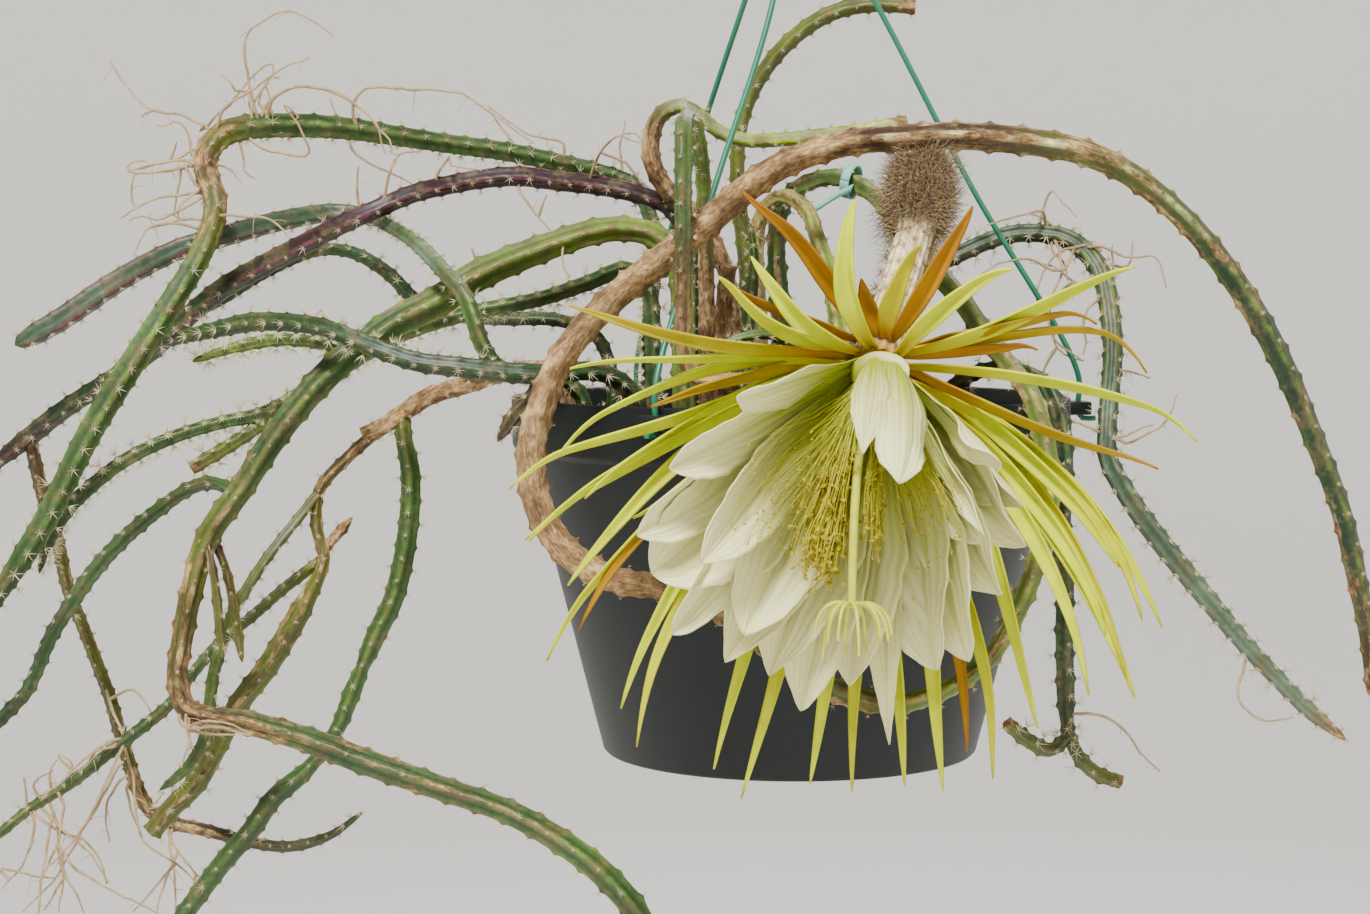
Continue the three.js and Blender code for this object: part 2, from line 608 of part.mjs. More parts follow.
// What each stem and branch fills, so that spines stay clear of the other stems.
const occupied = STEMS.flatMap((stem) =>
  [stem, ...(stem.branches ?? [])].flatMap(({ route, girth }) => {
    const curve = new THREE.CatmullRomCurve3(route.map(vector), false, "centripetal");
    const count = Math.ceil(curve.getLength() / 4);
    return curve.getSpacedPoints(count).map((point, i) => ({
      name: stem.name,
      point,
      radius: along(girth, i / count),
    }));
  }),
);

const insidePot = ({ x, y, z }) => z < 1.5 && z > -POT.height && Math.hypot(x, y) < POT.rimRadius + 1;

function clearOfOthers(name, point) {
  return occupied.every(
    (other) => other.name === name || other.point.distanceTo(point) > other.radius + SPINE.clearance,
  );
}

function spine(foot, direction, length, radius, sunk) {
  const cone = new THREE.ConeGeometry(radius, length + sunk, 3, 1);
  cone.translate(0, (length + sunk) / 2 - sunk, 0);
  cone.applyQuaternion(new THREE.Quaternion().setFromUnitVectors(new THREE.Vector3(0, 1, 0), direction));
  cone.translate(foot.x, foot.y, foot.z);
  return solidOf(cone);
}

// Spines stand on the ribs, in the middle of the edge between two rings.
function spinesOn(name, shape, stations, random) {
  const grown = [];
  for (let i = 3; i < stations.length - 2; i++) {
    const here = ribbedSection(shape, stations[i], i);
    const there = ribbedSection(shape, stations[i + 1], i + 1);
    for (let rib = 0; rib < shape.ribs; rib++) {
      if ((i + 3 * rib) % SPINE.every) continue;
      const place = (station, [a, b]) =>
        station.point.clone().addScaledVector(station.normal, a).addScaledVector(station.side, b);
      const low = place(stations[i], here[2 * rib]);
      const high = place(stations[i + 1], there[2 * rib]);
      const foot = low.clone().add(high).multiplyScalar(0.5);
      const middle = stations[i].point.clone().add(stations[i + 1].point).multiplyScalar(0.5);
      const out = foot.clone().sub(middle).normalize();
      out.addScaledVector(stations[i].tangent, 0.7 * (random() - 0.5)).normalize();
      const tip = foot.clone().addScaledVector(out, SPINE.length);
      if (insidePot(tip) || !clearOfOthers(name, tip)) continue;
      grown.push(spine(foot, out, SPINE.length, SPINE.radius, SPINE.sunk));
    }
  }
  return grown;
}

function airRoot(points) {
  const stations = stationsThrough(points.map(vector));
  return solidOf(
    sweep(stations, ({ share }) => roundSection(THREE.MathUtils.lerp(ROOT.radius, ROOT.tipRadius, share), 3), 1),
  );
}

function stem({ name, finish, roots = [], branches = [], ...trunk }, order) {
  const random = seeded(order + 11);
  const grown = [trunk, ...branches].flatMap((shape) => {
    const stations = stationsAlong(shape.route);
    const cane = solidOf(sweep(stations, (s, i) => ribbedSection(shape, s, i), shape.cut ? 0.4 : 2.5));
    return [cane, ...spinesOn(name, shape, stations, random)];
  });
  return node(name, finish, fused([...grown, ...roots.map(airRoot)]));
}

function node(name, finish, solid) {
  const [color, roughness] = FINISH[finish];
  const material = new THREE.MeshStandardMaterial({ color, roughness, metalness: 0 });
  const mesh = new THREE.Mesh(geometryOf(solid), material);
  mesh.name = name;
  return mesh;
}

// A turned solid from its half profile, [radius, height] pairs that close on themselves or end on the axis.
function turned(profile, sides) {
  const lathe = new THREE.LatheGeometry(profile.map(([r, z]) => new THREE.Vector2(r, z)), sides);
  return solidOf(lathe.rotateX(Math.PI / 2));
}

function cylinderAt(x, y, low, high, radius, sides) {
  const cylinder = new THREE.CylinderGeometry(radius, radius, high - low, sides);
  cylinder.rotateX(Math.PI / 2).translate(x, y, (low + high) / 2);
  return solidOf(cylinder);
}

const earPlace = (degrees, radius = EAR.radius) => {
  const angle = THREE.MathUtils.degToRad(degrees);
  return [radius * Math.cos(angle), radius * Math.sin(angle)];
};

// A thin tapered pot with a stepped rim band, drain holes, and three ears that the hanger's wires pass through.
function pot() {
  const { rimRadius, rimHeight, topRadius, baseRadius, height, wall, sides } = POT;
  const shell = turned(
    [
      [0, -height], [baseRadius, -height], [topRadius - 3, -rimHeight - 3],
      [rimRadius - 1, -rimHeight], [rimRadius, 0], [rimRadius - wall, 0],
      [rimRadius - wall - 0.8, -rimHeight + 2], [topRadius - wall - 3, -rimHeight - 2],
      [baseRadius - wall, -height + wall], [0, -height + wall],
    ],
    sides,
  );
  const ears = EAR.angles.map((degrees) => {
    const [x, y] = earPlace(degrees, EAR.radius - 1.5);
    const block = new THREE.BoxGeometry(EAR.depth, EAR.width, EAR.thickness);
    block.rotateZ(THREE.MathUtils.degToRad(degrees)).translate(x, y, EAR.top - EAR.thickness / 2);
    return solidOf(block);
  });
  const drains = Array.from({ length: DRAIN.count }, (_, i) => {
    const [x, y] = earPlace((i * 360) / DRAIN.count + 90, DRAIN.circle);
    return cylinderAt(x, y, -height - 2, -height + wall + 2, DRAIN.radius, DRAIN.sides);
  });
  const eyes = EAR.angles.map((degrees) =>
    cylinderAt(...earPlace(degrees), EAR.top - EAR.thickness - 1, EAR.top + 1, EAR.hole, 10),
  );
  const solid = fused([shell, ...ears]);
  return node("pot", "pot", [...drains, ...eyes].reduce((whole, hole) => whole.subtract(hole), solid));
}

// Potting soil to just under the rim, with a plain hole for each stem.
function soil() {
  const { rimRadius, rimHeight, topRadius, baseRadius, height, wall, sides } = POT;
  const low = -height + wall + GAP;
  const shoulder = -rimHeight - 2;
  const body = turned(
    [[0, low], [baseRadius - wall - 2 * GAP, low], [topRadius - wall - 3 - 2 * GAP, shoulder + GAP],
      [rimRadius - wall - 0.8 - 2 * GAP, shoulder + 4 + GAP], [rimRadius - wall - 2, SOIL.top - 1],
      [0, SOIL.top + 3]],
    sides,
  );
  const holes = STEMS.map(({ route, girth, tooth }) => {
    const [x, y] = route[0];
    return cylinderAt(x, y, SOIL.top - SOIL.holeDepth, SOIL.top + 8, (along(girth, 0) + GAP) / 0.84, SOIL.holeSides);
  });
  return node("soil", "soil", holes.reduce((whole, hole) => whole.subtract(hole), body));
}

// Three coated wires, each bent under its ear, twisted together at the neck and drawn out into the hook.
function hanger() {
  const bends = [
    [[-9, -27, 173], [-35, -70, 90]],
    [[-20, 22, 178], [-37, 46, 128], [-64, 90, 42]],
    [[36, 3, 178], [82, 5, 92]],
  ];
  const wires = EAR.angles.map((degrees, i) => {
    const [x, y] = earPlace(degrees);
    const [outX, outY] = earPlace(degrees, EAR.radius + 8);
    const below = EAR.top - EAR.thickness - WIRE.radius - GAP;
    const route = [[0, 0, WIRE.neck + 3], ...bends[i], [x, y, 9], [x, y, below + 3], [x, y, below],
      [outX, outY, below]];
    const points = route.map(vector);
    return solidOf(sweep(stationsThrough(points), () => roundSection(WIRE.radius, 5)));
  });
  const inner = WIRE.hookTop + WIRE.radius;
  const hook = [[0, WIRE.neck], [0, WIRE.twistTop - 8], [0, WIRE.twistTop], [9, inner - 30], [15, inner - 20],
    [14, inner - 8], [7, inner - 1], [0, inner + 0.6], [-8, inner - 2], [-13, inner - 9], [-14, inner - 15]];
  const thick = [[0, WIRE.twistRadius], [0.2, WIRE.twistRadius], [0.26, WIRE.radius + 0.5], [1, WIRE.radius + 0.5]];
  const stations = stationsThrough(hook.map(([x, z]) => new THREE.Vector3(x, 0, z)));
  const bent = solidOf(sweep(stations, ({ share }) => roundSection(along(thick, share), 6), 1));
  return node("hanger", "wire", fused([bent, ...wires]));
}

// A soft tie round the ring stem, with one loose end.
function tie() {
  const at = new THREE.Vector3(26, -15.5, 95);
  const axis = new THREE.Vector3(16, -8, -4).normalize();
  const band = turned([[6.9, -2], [7.7, -2], [7.7, 2], [6.9, 2], [6.9, -2]], 9);
  const turn = new THREE.Quaternion().setFromUnitVectors(new THREE.Vector3(0, 0, 1), axis);
  const ring = geometryOf(band).applyQuaternion(turn).translate(at.x, at.y, at.z);
  const tail = stationsThrough([[26, -21.5, 92], [18, -30, 88], [10, -38, 83], [3, -46, 80]].map(vector));
  const strip = sweep(tail, () => [[0.6, 0], [0, 1.8], [-0.6, 0], [0, -1.8]], 0.5);
  return node("tie", "tie", fused([solidOf(ring), solidOf(strip)]));
}

// The ring of directions square to the way the bloom looks: 0 is the side nearest to straight up.
const FACE_UP = new THREE.Vector3(0, 0, 1).addScaledVector(FACING, -FACING.z).normalize();
const FACE_SIDE = new THREE.Vector3().crossVectors(FACING, FACE_UP);
const outward = (angle) =>
  FACE_UP.clone().multiplyScalar(Math.cos(angle)).addScaledVector(FACE_SIDE, Math.sin(angle));
const outwardTo = (reach) => reach.clone().addScaledVector(FACING, -reach.dot(FACING)).normalize();
const inBloom = (set) => THROAT.clone().addScaledVector(FACING, set);

function collar(inner, outer, low, high, sides) {
  const band = turned([[inner, low], [outer, low], [outer, high], [inner, high], [inner, low]], sides);
  const turn = new THREE.Quaternion().setFromUnitVectors(new THREE.Vector3(0, 0, 1), FACING);
  return solidOf(geometryOf(band).applyQuaternion(turn).translate(...THROAT.toArray()));
}

// The floral tube: a bristly ovary under the stem, then a ribbed tube that widens to the throat.
function bloomTube() {
  const random = seeded(5);
  const mouth = inBloom(-1.4).toArray();
  const stations = stationsAlong([...TUBE_ROUTE, inBloom(-8).toArray(), mouth], 9, 14);
  stations[stations.length - 1].tangent.copy(FACING);
  const section = ({ share }) =>
    roundSection(1, 12).map(([a, b], k) => {
      const radius = along(TUBE_GIRTH, share) * (k % 2 ? 0.93 : 1);
      return [a * radius, b * radius];
    });
  const body = solidOf(sweep(stations, section));
  const bristles = [];
  const total = BRISTLES.onBall + BRISTLES.onTube;
  for (let i = 0; i < total; i++) {
    const onBall = i < BRISTLES.onBall;
    const share = onBall ? 0.07 + 0.17 * (i / BRISTLES.onBall) : 0.26 + 0.5 * ((i - BRISTLES.onBall) / BRISTLES.onTube);
    const index = stations.findIndex((s) => s.share >= share);
    const [from, to] = [stations[index - 1], stations[index]];
    const mix = (share - from.share) / (to.share - from.share);
    const centre = from.point.clone().lerp(to.point, mix);
    const angle = i * GOLDEN_ANGLE;
    const out = from.normal.clone().multiplyScalar(Math.cos(angle)).addScaledVector(from.side, Math.sin(angle));
    const foot = centre.addScaledVector(out, along(TUBE_GIRTH, share) * 0.93);
    const lean = from.tangent.clone().multiplyScalar(onBall ? 0.5 * (random() - 0.6) : 0.9);
    const length = BRISTLES.length * (onBall ? 0.9 + 0.3 * random() : 0.6);
    bristles.push(spine(foot, out.add(lean).normalize(), length, BRISTLES.radius, 1.6));
  }
  return node("bloom_tube", "tube", fused([body, ...bristles]));
}

// Tips in order round the bloom.
function inOrder(entries) {
  const angleOf = ({ reach }) => Math.atan2(outwardTo(reach).dot(FACE_SIDE), outwardTo(reach).dot(FACE_UP));
  return [...entries].sort((a, b) => angleOf(a) - angleOf(b));
}

// A blade along a curve, from the outline of its half widths. It is turned a little about its own length, so that
// each blade slips under the next one on one side.
function blade(curve, steps, outline, turn) {
  const points = curve.getPoints(steps);
  const stations = stationsThrough(points).slice(0, -1);
  for (const station of stations) {
    station.normal.copy(FACING).addScaledVector(station.tangent, -FACING.dot(station.tangent)).normalize();
    station.normal.applyAxisAngle(station.tangent, turn);
    station.side.crossVectors(station.tangent, station.normal);
  }
  const reach = points[steps].distanceTo(points[steps - 1]);
  return solidOf(sweep(stations, (_station, i) => outline(i / steps, i), reach));
}

// Narrow outer tepals in lime and orange brown, spread like rays behind the petals. Each has a keel on its back.
function sepals() {
  const random = seeded(23);
  const entry = ([right, up], width) => {
    const span = Math.hypot(right, up);
    const lean = SEPAL_LEAN.middle + (SEPAL_LEAN.up * up) / span;
    return { reach: new THREE.Vector3(right, -span * lean, up), width };
  };
  const entries = inOrder([
    ...SEPAL_TIPS.map((tip) => entry(tip, SEPAL.width)),
    ...OUTER_TIPS.map((tip) => entry(tip, SEPAL.outerWidth)),
  ]);
  const rays = entries.map(({ reach, width }, i) => {
    const out = outwardTo(reach);
    const base = inBloom(SEPAL.set - SEPAL.tier * (i % SEPAL.tiers));
    const tip = THROAT.clone().add(reach);
    const length = tip.distanceTo(base);
    const first = base.clone().addScaledVector(out, 0.4 * length).addScaledVector(FACING, 0.02 * length);
    const bow = new THREE.Vector3(0, -0.05, 0.1 * random()).multiplyScalar(length);
    const second = base.clone().lerp(tip, 0.72).add(bow);
    const start = base.clone().addScaledVector(out, SEPAL.ring - 0.9);
    const curve = new THREE.CubicBezierCurve3(start, first, second, tip);
    const outline = (t) => {
      const half = (width / 2) * Math.sin(Math.PI * (0.08 + 0.84 * t));
      return [[0.2 + 0.2 * half, half], [-0.6, 0], [0.2 + 0.2 * half, -half]];
    };
    return blade(curve, 4, outline, 0.12);
  });
  const low = SEPAL.set - SEPAL.tier * (SEPAL.tiers - 1) - 0.8;
  const ring = collar(TUBE_MOUTH + 0.7, TUBE_MOUTH + 1.8, low, SEPAL.set + 0.8, 14);
  return node("bloom_sepals", "sepal", fused([ring, ...rays]));
}

// Broad white petals that open into a cup.
function petals() {
  const entries = inOrder(PETAL_TIPS.map((tip, i) => ({ reach: vector(tip), width: PETAL_WIDTHS[i] })));
  const blades = entries.map(({ reach, width }, i) => {
    const out = outwardTo(reach);
    const base = inBloom(PETAL.set + PETAL.tier * (i % PETAL.tiers));
    const foot = base.clone().addScaledVector(out, PETAL.ring);
    const tip = THROAT.clone().add(reach);
    const length = tip.distanceTo(foot);
    const first = foot.clone().addScaledVector(out, 0.2 * length).addScaledVector(FACING, 0.24 * length);
    const second = foot.clone().lerp(tip, 0.68).addScaledVector(FACING, 0.1 * length).addScaledVector(out, 0.05 * length);
    const curve = new THREE.CubicBezierCurve3(foot, first, second, tip);
    const outline = (t, k) => {
      const half = (width / 2) * (0.09 + 0.91 * Math.sin(Math.PI * 0.86 * t ** 0.85));
      const ripple = 0.05 * half * (k % 2 ? 1 : -1);
      return [[0.5, 0], [0.2 * half + ripple, half], [-0.5, 0], [0.2 * half - ripple, -half]];
    };
    return blade(curve, 5, outline, PETAL.turn);
  });
  const top = PETAL.set + PETAL.tier * (PETAL.tiers - 1) + 0.8;
  const ring = collar(PETAL.ring - 1.2, PETAL.ring + 1.2, PETAL.set - 0.8, top, 14);
  return node("bloom_petals", "petal", fused([ring, ...blades]));
}

const stylePoints = STYLE_ROUTE.map((offset, i) => (i ? THROAT.clone().add(vector(offset)) : inBloom(-0.9)));
const styleLine = new THREE.CatmullRomCurve3(stylePoints, false, "centripetal").getSpacedPoints(40);

function clearOfStyle(curve) {
  return curve.getPoints(40).every((point) => styleLine.every((other) => other.distanceTo(point) > STAMENS.apart));
}

// Many fine filaments, each with its anther, bending down out of the throat beside the style.
function stamens() {
  const random = seeded(41);
  const curves = Array.from({ length: STAMENS.count }, (_, i) => {
    const angle = i * GOLDEN_ANGLE;
    const out = outward(angle);
    const length = THREE.MathUtils.lerp(STAMENS.shortest, STAMENS.longest, random());
    const down = (1 - Math.cos(angle)) / 2;
    const spread = STAMENS.spread * (0.25 + 0.75 * down) * (0.4 + 0.6 * random());
    const foot = inBloom(1.4).addScaledVector(out, STAMENS.ring);
    const aim = FACING.clone().addScaledVector(out, spread).normalize();
    const tip = foot.clone().addScaledVector(aim, length).add(new THREE.Vector3(-2, 0, -0.16 * length));
    const middle = foot.clone().addScaledVector(FACING, 0.5 * length);
    return new THREE.QuadraticBezierCurve3(foot, middle, tip);
  });
  const grown = curves.filter(clearOfStyle).map((curve) => {
    const points = [0, 0.5, 0.9, 0.96].map((t) => curve.getPoint(t));
    const { radius, anther } = STAMENS;
    const girths = [radius, radius, radius, anther];
    return solidOf(sweep(stationsThrough(points), (_station, k) => roundSection(girths[k], 3), 2));
  });
  const ring = collar(STAMENS.ring - 1.8, PETAL.ring - 1.8, 0.2, 2.4, 12);
  return node("bloom_stamens", "stamen", fused([ring, ...grown]));
}

// The style hangs out of the throat and ends in a star of stigma lobes.
function style() {
  const stations = stationsAlong(stylePoints.map((point) => point.toArray()), 16, 24);
  const stalk = solidOf(sweep(stations, () => roundSection(1.6, 5), 1));
  const end = stations[stations.length - 1];
  const lobes = Array.from({ length: STIGMA.lobes }, (_, i) => {
    const angle = (i / STIGMA.lobes) * 2 * Math.PI;
    const out = end.normal.clone().multiplyScalar(Math.cos(angle)).addScaledVector(end.side, Math.sin(angle));
    const points = [[0, -1.5], [0.5, 4], [1, 8]].map(([share, drop]) =>
      end.point.clone().addScaledVector(out, share * STIGMA.length).add(new THREE.Vector3(0, 0, -drop)),
    );
    return solidOf(sweep(stationsThrough(points), () => roundSection(STIGMA.radius, 3), 1));
  });
  return node("bloom_style", "style", fused([stalk, ...lobes]));
}

const plant = new THREE.Group();
plant.position.z = -WIRE.hookTop;
plant.add(pot(), soil(), hanger(), tie());
plant.add(...STEMS.map(stem));
plant.add(bloomTube(), sepals(), petals(), stamens(), style());

const part = new THREE.Group();
part.add(plant);

export default part;
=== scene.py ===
"""A queen of the night cactus in bloom, in a hanging pot.

Long ribbed stems arch out of the pot on a carried path, with spines on their ribs and tan air roots. One
large white bloom nods on the front. Routes are in millimetres from the middle of the pot's rim: right, back,
up. Every piece is built in metres below the hook that the pot hangs from.
"""

import math

import bmesh
import bpy
import numpy as np
from mathutils import Matrix


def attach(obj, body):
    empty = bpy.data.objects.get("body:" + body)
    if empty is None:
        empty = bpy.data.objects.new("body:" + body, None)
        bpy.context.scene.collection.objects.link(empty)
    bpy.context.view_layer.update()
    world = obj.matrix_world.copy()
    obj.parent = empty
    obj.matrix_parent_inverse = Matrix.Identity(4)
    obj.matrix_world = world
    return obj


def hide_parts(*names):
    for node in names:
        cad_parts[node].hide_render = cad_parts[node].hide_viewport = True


bl_info = {
    "name": "Queen of the Night Cactus",
    "version": (1, 0, 0),
    "blender": (4, 5, 0),
    "location": "3D View > Sidebar > Cactus",
    "description": "Builds a night-blooming cactus in a hanging pot, with its bloom open",
    "category": "Object",
}

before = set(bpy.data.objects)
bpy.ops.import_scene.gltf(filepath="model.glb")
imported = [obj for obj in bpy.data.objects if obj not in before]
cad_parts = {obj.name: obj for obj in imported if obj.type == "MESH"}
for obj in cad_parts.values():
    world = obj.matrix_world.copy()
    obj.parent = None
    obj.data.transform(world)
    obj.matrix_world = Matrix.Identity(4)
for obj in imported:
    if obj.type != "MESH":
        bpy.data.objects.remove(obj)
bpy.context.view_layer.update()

MM = 0.001
HOOK_HEIGHT = 298  # the hook's inner top above the pot's rim
POINTS_PER_RIB = 6  # round the stem, from one rib to the next
RINGS_PER_AREOLE = 6  # along the stem, from one areole to the next
ROOT_DEPTHS = (-41, -26, -11)  # where a stem stands upright in the soil
ROOTLET_SPACING = 16  # along an air root

